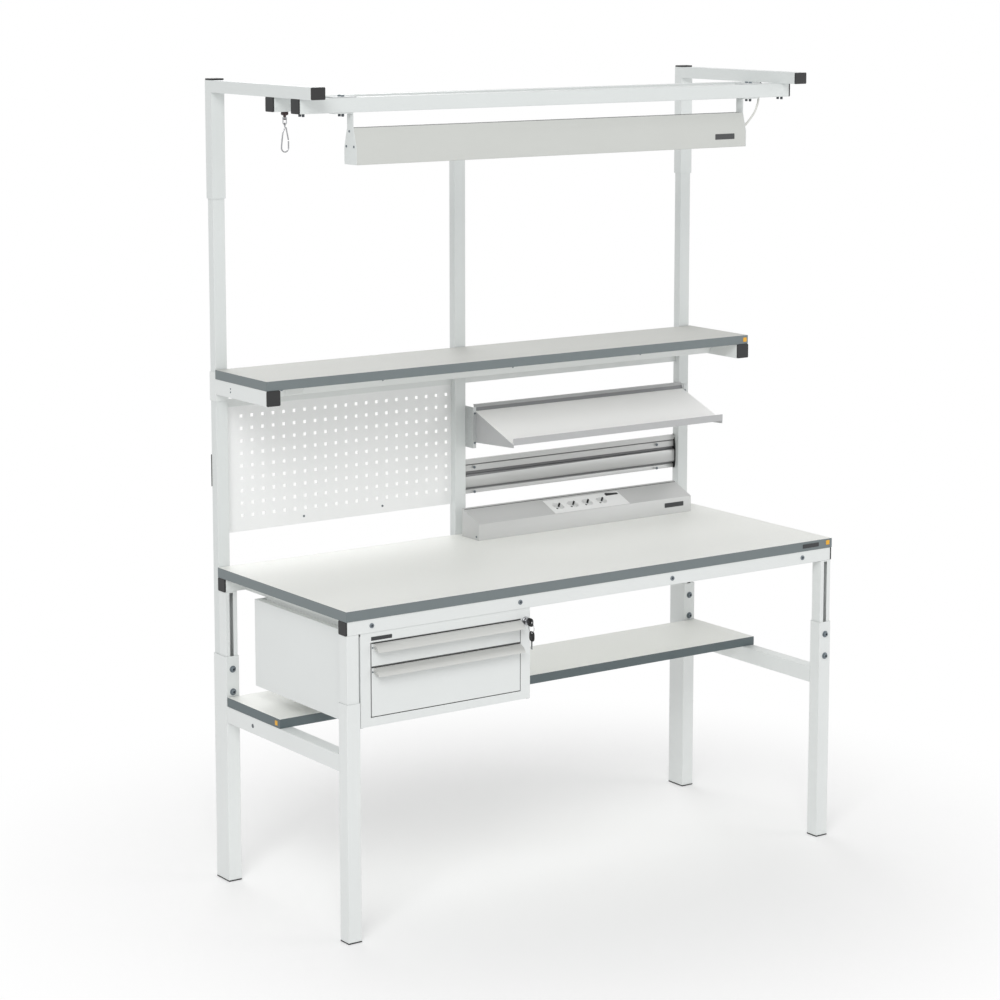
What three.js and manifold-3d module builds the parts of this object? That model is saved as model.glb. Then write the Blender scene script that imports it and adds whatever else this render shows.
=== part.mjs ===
import * as THREE from "three";
import { mergeVertices } from "three/addons/utils/BufferGeometryUtils.js";
import Module from "manifold-3d";

// Height-adjustable workbench, in millimetres with +Z up. The user stands on the -Y side.
// X runs from the bench's middle, Y from the desk's front edge to the back, Z from the floor.

// Desk board
const deskLength = 1800;
const deskDepth = 725;
const deskHeight = 967;
const boardThickness = 30;

// Tubes that slide in one another
const legWidth = 40;
const postDepth = 30;
const tubeWall = 2;
const slideClearance = 0.5;
const sleeveHeight = 700;
const legFootHeight = 230;
const footThickness = 4;
const footPlugHeight = 20;
const footPlugClearance = 0.5;

// Clamp slot of an inner leg
const slotWidth = 12;
const slotBottom = 475;
const slotBelowRail = 4;

// Lower stand
const lowBeamBelowDesk = 469;
const lowBeamHeight = 50;
const lowerShelfDepth = 308;
const lowerShelfThickness = 28;
const lowerShelfGap = 2.5;

// Desk frame
const frameSection = 40;
const crossBeamWidth = 30;
const middleBeamShare = 0.29125;
const rightBeamFromEnd = 120;

// Posts and back rail
const postLength = 2020;
const midPostRight = 0;
const backRailAboveDesk = 478;
const backRailHeight = 24;
const backRailDepth = 10;
const backRailWall = 1.5;
const notchClearance = 0.25;

// Perforated panel
const panelHeight = 383;
const panelSheet = 1.5;
const panelReturn = 6;
const holeSize = 10;
const holePitchAcross = 37;
const holePitchDown = 38;
const topRowBelowRail = 31;

// Slotted tool rail
const toolRailAboveDesk = 121;
const toolRailHeight = 111;
const toolRailDepth = 14;

// Sloping tray
const trayBracketWidth = 12;
const trayBracketSheet = 2;
const trayBracketHeight = 131;
const trayBracketAboveTray = 14;
const trayBracketReach = 41;
const trayBracketSeat = 25;
const traySheet = 2;
const trayBelowBackRail = 83;
const trayRise = 79;
const trayRearSetback = 35;
const trayReach = 210;
const trayLip = 20;
const trayUpstand = 20;
const trayUpstandLean = 8;
const trayCheekSetback = 2;
const trayCheekRear = 100;
const trayCheekFront = 10;

// Power box
const boxPastMiddlePost = 38;
const boxRightInset = 45.5;
const boxRearSetback = 35;
const boxReach = 92;
const boxFrontHeight = 52;
const boxRearHeight = 90;
const boxWall = 2;

// Socket strip, measured along the box's sloping top
const stripFromRight = 250;
const stripLength = 300;
const stripWidth = 78;
const stripFrontMargin = 3;
const stripDepth = 22;
const stripClearance = 0.3;
const socketCount = 4;
const socketPitch = 57.5;
const socketRadius = 19.5;
const socketDepth = 17;
const firstSocket = 37;
const switchLength = 50;
const switchWidth = 11.5;
const switchFromRight = 31;
const switchFromRear = 12;
const switchSink = 6;
const switchProud = 1.5;
const switchPocketDepth = 10;
const switchEndGap = 1;
const switchSideGap = 0.3;
const switchTilt = 5;

// Drawer cabinet
const cabinetLegGap = 6.5;
const cabinetWidth = 586;
const cabinetFront = 5;
const cabinetDepth = 587;
const cabinetHeight = 264;
const cabinetBelowBeams = 8;
const cabinetWall = 1.5;
const frontPlate = 3;
const openingWidth = 518.5;
const openingHeight = 217;
const openingBelowTop = 21.5;
const hangerWidth = 30;
const hangerSpread = 512;
const hangerFront = 60;
const hangerRear = 560;
const drawerGap = 1.5;
const lowerFrontHeight = 144;
const drawerFrontDepth = 16;
const drawerSheet = 1.25;
const drawerTubWidth = 491;
const drawerTubRear = 560;
const tubAboveFront = 8;
const upperTubBelow = 12;
const lowerTubBelow = 16;
const railWidth = 12;
const railHeight = 12;
const runnerGap = 0.25;
const runnerLedge = 10;
const runnerReach = 2;
const runnerFront = 30;
const runnerSheet = 1.5;
const runnerMargin = 12;

// Drawer handle, measured down and out from the top edge of the drawer front
const handleReach = 28;
const handleDrop = 24;
const handleSheet = 2.5;
const handleBack = 16;
const handleCheek = 3;
const handleShoulderShare = 0.42;
const handleShoulderDropShare = 0.16;
const handleElbowShare = 0.8;
const handleElbowDropShare = 0.5;

// Lock, key and spare key
const lockInset = 17;
const lockBelowTop = 30;
const lockFlangeRadius = 12.5;
const lockProud = 6;
const lockBodyRadius = 9;
const lockBodyLength = 22;
const lockBore = 6.5;
const lockHoleClearance = 0.5;
const plugRadius = 6.2;
const plugLength = 26;
const bladeThickness = 2;
const bladeHeight = 8;
const keyThickness = 3;
const keyHeadLength = 28;
const keyHeadHeight = 25;
const keyHeadGap = 5;
const keyHoleRadius = 3.5;
const keyHoleInset = 6;
const ringRadius = 13.5;
const ringWire = 0.8;
const ringSag = 2;
const spareHeadWidth = 24;
const spareHeadHeight = 30;
const spareHeadCover = 4;
const spareBladeLength = 24;
const keyCorner = 5;

// Upper shelf
const shelfAboveBackRail = 68;
const shelfThickness = 28;
const shelfDepth = 300;
const shelfArmHeight = 45;
const shelfArmOverhang = 2.5;
const shelfSleeveBelow = 67;
const shelfSleeveAbove = 20;
const shelfBeamSetback = 129.5;
const shelfBeamDepth = 40;
const shelfBeamHeight = 43;
const shelfBeamChamfer = 13;
const shelfBeamChamferHeight = 22;

// Gantry
const gantryAbovePosts = 173;
const gantrySleeveHeight = 352;
const gantryArmHeight = 40;
const gantryArmReach = 565.5;
const gantryCapThickness = 3;
const crossRailSection = 42;
const crossRailShort = 5;
const frontCrossRailInset = 71;
const rearCrossRailInset = 211;
const crossRailSlot = 12;

// Lamp
const lampLeftInset = 180;
const lampLength = 1427;
const lampDrop = 148;
const lampLowHeight = 49;
const lampHeight = 104;
const lampDepth = 63;
const lampForward = 2.5;
const lampTopDepth = 32;
const lampWall = 1.5;
const lampPlate = 2;
const lampFlange = 60;
const lampFlangeSheet = 3;
const diffuserThickness = 3;
const diffuserClearance = 0.25;

// Lamp cord, as a hand-laid route from the lamp's end plate: out, back and up in each step
const cordRadius = 3.25;
const cordSides = 8;
const cordSteps = 14;
const cordSlack = 0.3;
const cordExitHeight = 57;
const cordRoute = [
  [0.5, 0, 0],
  [7, 0, 0],
  [18, 0.5, 3.5],
  [32, 2.5, 13],
  [45, 2.5, 26],
  [60, 2.5, 43],
  [70, 2.5, 62],
  [75.5, 2.5, 78],
  [76, 2.5, 91],
];

// Trolley and snap hook
const trolleyFromEnd = 51;
const trolleyHeadLength = 30;
const trolleyHeadHeight = 8;
const trolleyHeadClearance = 1;
const trolleyRunClearance = 0.25;
const trolleyStem = 10;
const trolleyDrop = 16;
const trolleyBodyLength = 26;
const trolleyBodyWidth = 14;
const pinRadius = 2.5;
const pinHeadRadius = 4;
const pinHeadHeight = 3;
const eyeGap = 0.5;
const eyeRadius = 7;
const eyeBore = 3;
const eyeThickness = 4;
const stirrupDrop = 17;
const stirrupWall = 2.5;
const hookWire = 2;
const hookSides = 8;
const hookSteps = 30;
const hookHeight = 82;
const hookWidth = 27;
const hookNeck = 7;
const hookWidestShare = 0.86;
const hookShoulderShare = 0.3;
const hookNoseShare = 0.6;
const gateTopShare = 0.12;
const gateThickness = 3;
const gateGap = 0.3;

// Values that several pieces share
const overrun = 1;
const roundSides = 16;
const mergeTolerance = 1e-3;
const half = 0.5;

const deskHalf = deskLength * half;
const legMargin = tubeWall + slideClearance;
const sleeveWidth = legWidth + 2 * legMargin;
const legFrontY = legMargin;
const rearLegY = deskDepth - legWidth;
const postRearY = deskDepth + postDepth;
const sleeveRearY = postRearY + legMargin;
const postFrontSleeveY = deskDepth - legMargin;
const legInnerX = deskHalf - legMargin - legWidth;
const sleeveInnerX = deskHalf - sleeveWidth;
const frameTop = deskHeight - boardThickness;
const frameBottom = frameTop - frameSection;
const backRailBottom = deskHeight + backRailAboveDesk;
const backRailTop = backRailBottom + backRailHeight;
const panelTop = backRailBottom;
const panelBottom = panelTop - panelHeight;
const postHeight = legFootHeight + postLength;
const midPostLeft = midPostRight - legWidth;
const gantryTop = postHeight + gantryAbovePosts;
const crossRailTop = gantryTop - gantryArmHeight;
const crossRailBottom = crossRailTop - crossRailSection;

// Geometry helpers

const span = (a, b) => [Math.min(a, b), Math.max(a, b)];

/** The stretch from inner to outer on the left (side -1) or the right (side 1) of the middle. */
const mirrored = (side, inner, outer) => span(side * inner, side * outer);

const centred = (middle, size) => [middle - size * half, middle + size * half];

/** A box that fills the given stretches of X, Y and Z. */
function block([x0, x1], [y0, y1], [z0, z1]) {
  const geometry = new THREE.BoxGeometry(x1 - x0, y1 - y0, z1 - z0);
  return geometry.translate((x0 + x1) * half, (y0 + y1) * half, (z0 + z1) * half);
}

const outline = (points) => new THREE.Shape(points.map(([a, b]) => new THREE.Vector2(a, b)));

const rectangle = ([a0, a1], [b0, b1]) => [[a0, b0], [a1, b0], [a1, b1], [a0, b1]];

const shrink = ([a0, a1], wall) => [a0 + wall, a1 - wall];

/** Extrudes a flat shape and turns it so that its own X, Y and Z axes lie along the given ones. */
function prism(shape, length, start, axes) {
  const geometry = new THREE.ExtrudeGeometry(shape, { depth: length, bevelEnabled: false });
  geometry.translate(0, 0, start);
  return geometry.applyMatrix4(new THREE.Matrix4().makeBasis(...axes));
}

const alongX = new THREE.Vector3(1, 0, 0);
const alongY = new THREE.Vector3(0, 1, 0);
const alongZ = new THREE.Vector3(0, 0, 1);
const backY = new THREE.Vector3(0, -1, 0);

/** A shape drawn in Y and Z, extruded along X. */
const prismX = (shape, [x0, x1]) => prism(shape, x1 - x0, x0, [alongY, alongZ, alongX]);

/** A shape drawn in X and Z, extruded along Y. */
const prismY = (shape, [y0, y1]) => prism(shape, y1 - y0, -y1, [alongX, alongZ, backY]);

/** A shape drawn in X and Y, extruded along Z. */
const prismZ = (shape, [z0, z1]) => prism(shape, z1 - z0, z0, [alongX, alongY, alongZ]);

/** A rectangular frame: the first pair of stretches with the second pair left open. */
function frameShape(a, b, wall) {
  const shape = outline(rectangle(a, b));
  shape.holes.push(outline(rectangle(shrink(a, wall), shrink(b, wall))));
  return shape;
}

const tubeX = (x, y, z, wall) => prismX(frameShape(y, z, wall), x);
const tubeY = (x, y, z, wall) => prismY(frameShape(x, z, wall), y);
const tubeZ = (x, y, z, wall) => prismZ(frameShape(x, y, wall), z);

/** A round bar along Z between two heights. */
function roundZ(radius, x, y, [z0, z1]) {
  const geometry = new THREE.CylinderGeometry(radius, radius, z1 - z0, roundSides);
  return geometry.rotateX(Math.PI * half).translate(x, y, (z0 + z1) * half);
}

/** A round bar along Y between two depths. */
function roundY(radius, x, z, [y0, y1]) {
  const geometry = new THREE.CylinderGeometry(radius, radius, y1 - y0, roundSides);
  return geometry.translate(x, (y0 + y1) * half, z);
}

/** A round bar along X between two places. */
function roundX(radius, y, z, [x0, x1]) {
  const geometry = new THREE.CylinderGeometry(radius, radius, x1 - x0, roundSides);
  return geometry.rotateZ(Math.PI * half).translate((x0 + x1) * half, y, z);
}

const wasm = await Module();
wasm.setup();

function solidOf(geometry) {
  const bare = geometry.clone();
  bare.deleteAttribute("normal");
  bare.deleteAttribute("uv");
  const merged = mergeVertices(bare, mergeTolerance);
  return new wasm.Manifold(
    new wasm.Mesh({
      numProp: 3,
      vertProperties: merged.attributes.position.array,
      triVerts: new Uint32Array(merged.index.array),
    }),
  );
}

function geometryOf(solid) {
  const mesh = solid.getMesh();
  const geometry = new THREE.BufferGeometry();
  geometry.setAttribute("position", new THREE.BufferAttribute(mesh.vertProperties, 3));
  geometry.setIndex(new THREE.BufferAttribute(mesh.triVerts, 1));
  const flat = geometry.toNonIndexed();
  flat.computeVertexNormals();
  return flat;
}

const join = (...pieces) => geometryOf(pieces.map(solidOf).reduce((a, b) => a.add(b)));

const cut = (geometry, ...tools) =>
  geometryOf(tools.map(solidOf).reduce((a, b) => a.subtract(b), solidOf(geometry)));

const finishes = {
  steel: { color: 0xe0e4e2, roughness: 0.45, metalness: 0.1 },
  laminate: { color: 0xdedfd9, roughness: 0.35, metalness: 0 },
  panel: { color: 0xdedede, roughness: 0.5, metalness: 0.1 },
  aluminium: { color: 0xc8c8c6, roughness: 0.35, metalness: 0.8 },
  handle: { color: 0xd2d3cf, roughness: 0.4, metalness: 0.3 },
  rubber: { color: 0x323232, roughness: 0.8, metalness: 0 },
  white: { color: 0xf4f4f4, roughness: 0.4, metalness: 0 },
  black: { color: 0x141414, roughness: 0.5, metalness: 0 },
  chrome: { color: 0xbcbcbc, roughness: 0.2, metalness: 1 },
  diffuser: { color: 0xf2f2f0, roughness: 0.6, metalness: 0 },
  cord: { color: 0xe6e6e2, roughness: 0.6, metalness: 0 },
};

/** Adds a mesh whose geometry is kept round its own middle and whose position is that middle. */
function addPart(group, name, geometry, finish) {
  geometry.computeBoundingBox();
  const middle = geometry.boundingBox.getCenter(new THREE.Vector3());
  const mesh = new THREE.Mesh(geometry, new THREE.MeshStandardMaterial(finishes[finish]));
  geometry.translate(-middle.x, -middle.y, -middle.z);
  mesh.position.copy(middle);
  mesh.name = name;
  group.add(mesh);
}

const sideNames = new Map([[-1, "left"], [1, "right"]]);
const sides = [...sideNames.keys()];

const bench = new THREE.Group();
const stand = new THREE.Group();
const desk = new THREE.Group();
const cabinet = new THREE.Group();
const upperShelf = new THREE.Group();
const gantry = new THREE.Group();
bench.add(stand, desk, upperShelf, gantry);
desk.add(cabinet);

// Lower stand: sleeves, feet, low beams and lower shelf

const frontSleeveY = [0, sleeveWidth];
const rearSleeveY = [rearLegY - legMargin, sleeveRearY];

function sleeveAndFoot(side, name, y) {
  const x = mirrored(side, sleeveInnerX, deskHalf);
  addPart(stand, `sleeve_${name}`, tubeZ(x, y, [footThickness, sleeveHeight], tubeWall), "steel");
  const plugWall = tubeWall + footPlugClearance;
  const plug = block(shrink(x, plugWall), shrink(y, plugWall), [0, footPlugHeight]);
  addPart(stand, `foot_${name}`, join(block(x, y, [0, footThickness]), plug), "rubber");
}

const lowBeamBottom = deskHeight - lowBeamBelowDesk;
const lowBeamTop = lowBeamBottom + lowBeamHeight;

for (const side of sides) {
  const name = sideNames.get(side);
  sleeveAndFoot(side, `front_${name}`, frontSleeveY);
  sleeveAndFoot(side, `rear_${name}`, rearSleeveY);
  const x = mirrored(side, sleeveInnerX, deskHalf);
  const y = [frontSleeveY[1], rearSleeveY[0]];
  addPart(stand, `low_beam_${name}`, tubeY(x, y, [lowBeamBottom, lowBeamTop], tubeWall), "steel");
}

const lowerShelfRear = rearSleeveY[0] - lowerShelfGap;
addPart(
  stand,
  "lower_shelf",
  block(
    [-deskHalf, deskHalf],
    [lowerShelfRear - lowerShelfDepth, lowerShelfRear],
    [lowBeamTop, lowBeamTop + lowerShelfThickness],
  ),
  "laminate",
);

// Desk frame: inner legs, rails, cross beams, board and posts

/** An inner leg with its clamp slot through the front wall, or through the rear wall. */
function innerLeg(side, name, y, slotRear) {
  const x = mirrored(side, legInnerX, legInnerX + legWidth);
  const middle = (x[0] + x[1]) * half;
  const slotX = [middle - slotWidth * half, middle + slotWidth * half];
  const wallY = slotRear
    ? [y[1] - tubeWall - overrun, y[1] + overrun]
    : [y[0] - overrun, y[0] + tubeWall + overrun];
  const slot = block(slotX, wallY, [slotBottom, frameBottom - slotBelowRail]);
  const tube = tubeZ(x, y, [legFootHeight, frameBottom], tubeWall);
  addPart(desk, `inner_leg_${name}`, cut(tube, slot), "steel");
}

const frontRailY = [legFrontY, legFrontY + frameSection];
const rearRailY = [deskDepth - frameSection, deskDepth];
for (const side of sides) {
  const name = sideNames.get(side);
  innerLeg(side, `front_${name}`, [legFrontY, legFrontY + legWidth], side < 0);
  innerLeg(side, `rear_${name}`, [rearLegY, deskDepth], false);
  const postX = mirrored(side, legInnerX, legInnerX + legWidth);
  const post = tubeZ(postX, [deskDepth, postRearY], [legFootHeight, postHeight], tubeWall);
  addPart(desk, `side_post_${name}`, post, "steel");
}
const deskX = [-deskHalf, deskHalf];
const frameZ = [frameBottom, frameTop];
addPart(desk, "front_rail", tubeX(deskX, frontRailY, frameZ, tubeWall), "steel");
addPart(desk, "rear_rail", tubeX(deskX, rearRailY, frameZ, tubeWall), "steel");

const cabinetCentre = -legInnerX + cabinetLegGap + cabinetWidth * half;
const hangers = sides.map((side) => cabinetCentre + side * hangerSpread * half);
const crossBeams = [...hangers, deskHalf * middleBeamShare, deskHalf - rightBeamFromEnd];
crossBeams.forEach((x, index) => {
  const beamX = [x - crossBeamWidth * half, x + crossBeamWidth * half];
  const beam = tubeY(beamX, [frontRailY[1], rearRailY[0]], frameZ, tubeWall);
  addPart(desk, `cross_beam_${index + 1}`, beam, "steel");
});
addPart(desk, "desk_board", block(deskX, [0, deskDepth], [frameTop, deskHeight]), "laminate");

const backRailY = [postRearY - backRailDepth, postRearY];
const backRailZ = [backRailBottom, backRailTop];
const midPost = tubeZ(
  [midPostLeft, midPostRight],
  [deskDepth, postRearY],
  [frameBottom, postHeight],
  tubeWall,
);
const notch = block(
  [midPostLeft - overrun, midPostRight + overrun],
  [backRailY[0] - notchClearance, backRailY[1] + overrun],
  [backRailZ[0] - notchClearance, backRailZ[1] + notchClearance],
);
addPart(desk, "middle_post", cut(midPost, notch), "steel");
const backRail = tubeX([-legInnerX, legInnerX], backRailY, backRailZ, backRailWall);
addPart(desk, "back_rail", backRail, "steel");

// Perforated panel, held between the left post and the middle post

function perforatedPanel() {
  const x = [-legInnerX, midPostLeft];
  const z = [panelBottom, panelTop];
  const y = [postRearY - panelReturn, postRearY];
  const sheetY = [y[0], y[0] + panelSheet];
  const holeY = [sheetY[0] - overrun, sheetY[1] + overrun];
  const holes = [];
  const holeColumns = Math.floor((x[1] - x[0]) / holePitchAcross) - 1;
  const holeRows = Math.floor((z[1] - z[0]) / holePitchDown) - 1;
  for (let column = 0; column < holeColumns; column += 1) {
    for (let row = 0; row < holeRows; row += 1) {
      const holeX = x[1] - holePitchAcross * (column + half);
      const holeZ = z[1] - topRowBelowRail - holePitchDown * row;
      holes.push(block(centred(holeX, holeSize), holeY, centred(holeZ, holeSize)));
    }
  }
  return join(cut(block(x, sheetY, z), ...holes), prismY(frameShape(x, z, panelSheet), y));
}
addPart(desk, "perforated_panel", perforatedPanel(), "panel");

// Slotted tool rail: its front as shares of its height from below and of its depth from behind

const toolRailShares = [
  [0.5, 0], [0.5, 0.11], [0.2, 0.12], [0.2, 0.15], [0.86, 0.19], [1, 0.24], [1, 0.5], [0.86, 0.56],
  [0.2, 0.57], [0.2, 0.645], [0.6, 0.65], [0.6, 0.82], [0.35, 0.825], [0.35, 0.85], [0.78, 0.855],
  [0.78, 1],
];
const toolRailBottom = deskHeight + toolRailAboveDesk;
const toolRailOutline = toolRailShares.map(([out, up]) => [
  postRearY - out * toolRailDepth,
  toolRailBottom + up * toolRailHeight,
]);
toolRailOutline.push([postRearY, toolRailBottom + toolRailHeight], [postRearY, toolRailBottom]);
const toolRail = prismX(outline(toolRailOutline), [midPostRight, legInnerX]);
addPart(desk, "tool_rail", toolRail, "aluminium");

// Sloping tray between its two brackets

const trayRearHeight = backRailBottom - trayBelowBackRail;
const trayFrontHeight = trayRearHeight - trayRise;
const trayRear = deskDepth - trayRearSetback;
const trayFront = trayRear - trayReach;
const trayBracketFront = deskDepth - trayBracketReach;
const trayX = [midPostRight + trayBracketWidth, legInnerX - trayBracketWidth];

function slopingTray() {
  const slope = (trayRearHeight - trayFrontHeight) / (trayRear - trayFront);
  const drop = traySheet * Math.hypot(1, slope);
  const sheet = outline([
    [trayFront, trayFrontHeight - drop],
    [trayRear + traySheet, trayRearHeight - drop + slope * traySheet],
    [trayRear + traySheet + trayUpstandLean, trayRearHeight + trayUpstand],
    [trayRear + trayUpstandLean, trayRearHeight + trayUpstand],
    [trayRear, trayRearHeight],
    [trayFront + traySheet, trayFrontHeight + slope * traySheet],
    [trayFront + traySheet, trayFrontHeight + trayLip],
    [trayFront, trayFrontHeight + trayLip],
  ]);
  const rear = trayRear - trayCheekSetback;
  const under = (y) => trayFrontHeight - drop * half + slope * (y - trayFront);
  const cheek = outline([
    [trayFront + overrun, trayFrontHeight - trayCheekFront],
    [rear, trayRearHeight - trayCheekRear],
    [rear, under(rear)],
    [trayFront + overrun, under(trayFront + overrun)],
  ]);
  const left = prismX(cheek, [trayX[0], trayX[0] + traySheet]);
  const right = prismX(cheek, [trayX[1] - traySheet, trayX[1]]);
  return join(prismX(sheet, trayX), left, right);
}
addPart(desk, "sloping_tray", slopingTray(), "panel");

for (const side of sides) {
  const seat = side < 0 ? midPostRight : legInnerX;
  const inward = -side;
  const flange = span(seat, seat + inward * trayBracketWidth);
  const web = span(seat, seat + inward * trayBracketSheet);
  const top = trayRearHeight + trayBracketAboveTray;
  const z = [top - trayBracketHeight, top];
  const front = block(flange, [trayBracketFront, trayBracketFront + trayBracketSheet], z);
  const back = block(web, [trayBracketFront, deskDepth + trayBracketSeat], z);
  addPart(desk, `tray_bracket_${sideNames.get(side)}`, join(front, back), "panel");
}

// Power box with its socket strip and rocker switch

const boxLeft = midPostRight - boxPastMiddlePost;
const boxRight = legInnerX - boxRightInset;
const boxRear = deskDepth - boxRearSetback;
const boxFront = boxRear - boxReach;
const boxSlope = Math.atan2(boxRearHeight - boxFrontHeight, boxRear - boxFront);
const stripRight = boxRight - stripFromRight;
const stripX = [stripRight - stripLength, stripRight];

/** A group whose X runs along the bench, Y up the box's slope and Z out of it. */
function slopeGroup() {
  const group = new THREE.Group();
  group.position.set(0, boxFront, deskHeight + boxFrontHeight);
  group.rotation.x = boxSlope;
  return group;
}

/** Turns a geometry drawn on the slope into the bench's own axes. */
function ontoSlope(geometry) {
  const group = slopeGroup();
  group.updateMatrix();
  return geometry.applyMatrix4(group.matrix);
}

function powerBox() {
  const z0 = deskHeight;
  const outer = outline([
    [boxFront, z0],
    [boxRear, z0],
    [boxRear, z0 + boxRearHeight],
    [boxFront, z0 + boxFrontHeight],
  ]);
  const topDrop = boxWall / Math.cos(boxSlope);
  const innerTop = (y) => z0 + boxFrontHeight - topDrop + Math.tan(boxSlope) * (y - boxFront);
  const inner = outline([
    [boxFront + boxWall, z0 - overrun],
    [boxRear - boxWall, z0 - overrun],
    [boxRear - boxWall, innerTop(boxRear - boxWall)],
    [boxFront + boxWall, innerTop(boxFront + boxWall)],
  ]);
  const x = [boxLeft, boxRight];
  const window = block(
    stripX,
    [stripFrontMargin, stripFrontMargin + stripWidth],
    [-boxWall - overrun, overrun],
  );
  return cut(prismX(outer, x), prismX(inner, shrink(x, boxWall)), ontoSlope(window));
}
addPart(desk, "power_box", powerBox(), "aluminium");

const stripGroup = slopeGroup();
desk.add(stripGroup);
const stripY = [stripFrontMargin, stripFrontMargin + stripWidth];
const stripMiddle = (stripY[0] + stripY[1]) * half;
const switchX = stripX[1] - switchFromRight;
const switchY = stripY[1] - switchFromRear;

function socketStrip() {
  const body = block(shrink(stripX, stripClearance), shrink(stripY, stripClearance), [-stripDepth, 0]);
  const recesses = [];
  for (let index = 0; index < socketCount; index += 1) {
    const x = stripX[0] + firstSocket + socketPitch * index;
    recesses.push(roundZ(socketRadius, x, stripMiddle, [-socketDepth, overrun]));
  }
  const pocketHalf = switchLength * half + switchEndGap;
  const pocket = block(
    [switchX - pocketHalf, switchX + pocketHalf],
    [switchY - switchWidth * half - switchSideGap, switchY + switchWidth * half + switchSideGap],
    [-switchPocketDepth, overrun],
  );
  return cut(body, ...recesses, pocket);
}
addPart(stripGroup, "socket_strip", socketStrip(), "white");

const rockerPivot = new THREE.Group();
rockerPivot.position.set(switchX, switchY, -switchSink * half);
rockerPivot.rotation.y = THREE.MathUtils.degToRad(switchTilt);
stripGroup.add(rockerPivot);
const rocker = block(
  [-switchLength * half, switchLength * half],
  [-switchWidth * half, switchWidth * half],
  [-switchSink * half, switchSink * half + switchProud],
);
addPart(rockerPivot, "rocker_switch", rocker, "black");

// Drawer cabinet, hung from two cross beams

const cabinetX = [cabinetCentre - cabinetWidth * half, cabinetCentre + cabinetWidth * half];
const cabinetY = [cabinetFront, cabinetFront + cabinetDepth];
const cabinetTop = frameBottom - cabinetBelowBeams;
const cabinetZ = [cabinetTop - cabinetHeight, cabinetTop];
const openingTop = cabinetTop - openingBelowTop;
const openingBottom = openingTop - openingHeight;
const innerX = shrink(cabinetX, cabinetWall);
const lockX = cabinetX[1] - lockInset;
const lockZ = cabinetTop - lockBelowTop;

function cabinetCase() {
  const room = block(
    innerX,
    [cabinetFront + frontPlate, cabinetY[1] - cabinetWall],
    shrink(cabinetZ, cabinetWall),
  );
  const opening = block(
    [cabinetCentre - openingWidth * half, cabinetCentre + openingWidth * half],
    [cabinetFront - overrun, cabinetFront + frontPlate + overrun],
    [openingBottom, openingTop],
  );
  const lockHole = roundY(
    lockBodyRadius + lockHoleClearance,
    lockX,
    lockZ,
    [cabinetFront - overrun, cabinetFront + frontPlate + overrun],
  );
  const shell = cut(block(cabinetX, cabinetY, cabinetZ), room, opening, lockHole);
  const strips = hangers.map((x) =>
    block(
      centred(x, hangerWidth),
      [hangerFront, hangerRear],
      [cabinetTop - cabinetWall, frameBottom],
    ),
  );
  return join(shell, ...strips);
}
addPart(cabinet, "cabinet_case", cabinetCase(), "steel");

const tubHalf = drawerTubWidth * half;
const drawerSplit = openingBottom + drawerGap + lowerFrontHeight;
const upperFrontZ = [drawerSplit + drawerGap, openingTop - drawerGap];
const lowerFrontZ = [openingBottom + drawerGap, drawerSplit];
const upperTubZ = [upperFrontZ[0] + tubAboveFront, upperFrontZ[1] - upperTubBelow];
const lowerTubZ = [lowerFrontZ[0] + tubAboveFront, lowerFrontZ[1] - lowerTubBelow];

/** Height of the rail's underside: the rail lies half-way up the tub. */
const railBottomOf = (tubZ) => (tubZ[0] + tubZ[1] - railHeight) * half;
const upperRailBottom = railBottomOf(upperTubZ);
const lowerRailBottom = railBottomOf(lowerTubZ);

/** A plate against the cabinet's side with a ledge under each drawer's rail. */
function runnerPlate(side) {
  const wall = cabinetCentre + side * (cabinetWidth * half - cabinetWall);
  const web = wall - side * runnerSheet;
  const reach = cabinetCentre + side * (tubHalf + runnerReach);
  const y = [runnerFront, drawerTubRear];
  const ledges = [upperRailBottom, lowerRailBottom].map((bottom) =>
    block(span(wall, reach), y, [bottom - runnerGap - runnerLedge, bottom - runnerGap]),
  );
  const zLow = lowerRailBottom - runnerLedge - runnerMargin;
  const zHigh = upperRailBottom + runnerMargin;
  return join(block(span(wall, web), y, [zLow, zHigh]), ...ledges);
}
for (const side of sides) {
  addPart(cabinet, `runner_plate_${sideNames.get(side)}`, runnerPlate(side), "chrome");
}

const frontX = [
  cabinetCentre - openingWidth * half + drawerGap,
  cabinetCentre + openingWidth * half - drawerGap,
];

/** A drawer: a folded front, an open tub behind it and a rail along each side. */
function drawer([z0, z1], [tubBottom, tubTop], railBottom) {
  const tubX = [cabinetCentre - tubHalf, cabinetCentre + tubHalf];
  const frontY = [cabinetFront, cabinetFront + drawerFrontDepth];
  const pan = cut(
    block(frontX, frontY, [z0, z1]),
    block(
      shrink(frontX, drawerSheet),
      [frontY[0] + drawerSheet, frontY[1] + overrun],
      [z0 - overrun, z1 - drawerSheet],
    ),
  );
  const tubY = [frontY[1] - drawerSheet, drawerTubRear];
  const tub = cut(
    block(tubX, tubY, [tubBottom, tubTop]),
    block(
      shrink(tubX, drawerSheet),
      shrink(tubY, drawerSheet),
      [tubBottom + drawerSheet, tubTop + overrun],
    ),
  );
  const back = block(frontX, [frontY[1] - drawerSheet, frontY[1]], [tubBottom, z1]);
  const rails = sides.map((side) => {
    const inner = cabinetCentre + side * (tubHalf - drawerSheet * half);
    const outer = cabinetCentre + side * (tubHalf + railWidth);
    return block(span(inner, outer), tubY, [railBottom, railBottom + railHeight]);
  });
  return join(pan, tub, back, ...rails);
}

addPart(cabinet, "drawer_upper", drawer(upperFrontZ, upperTubZ, upperRailBottom), "steel");
addPart(cabinet, "drawer_lower", drawer(lowerFrontZ, lowerTubZ, lowerRailBottom), "steel");

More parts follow.
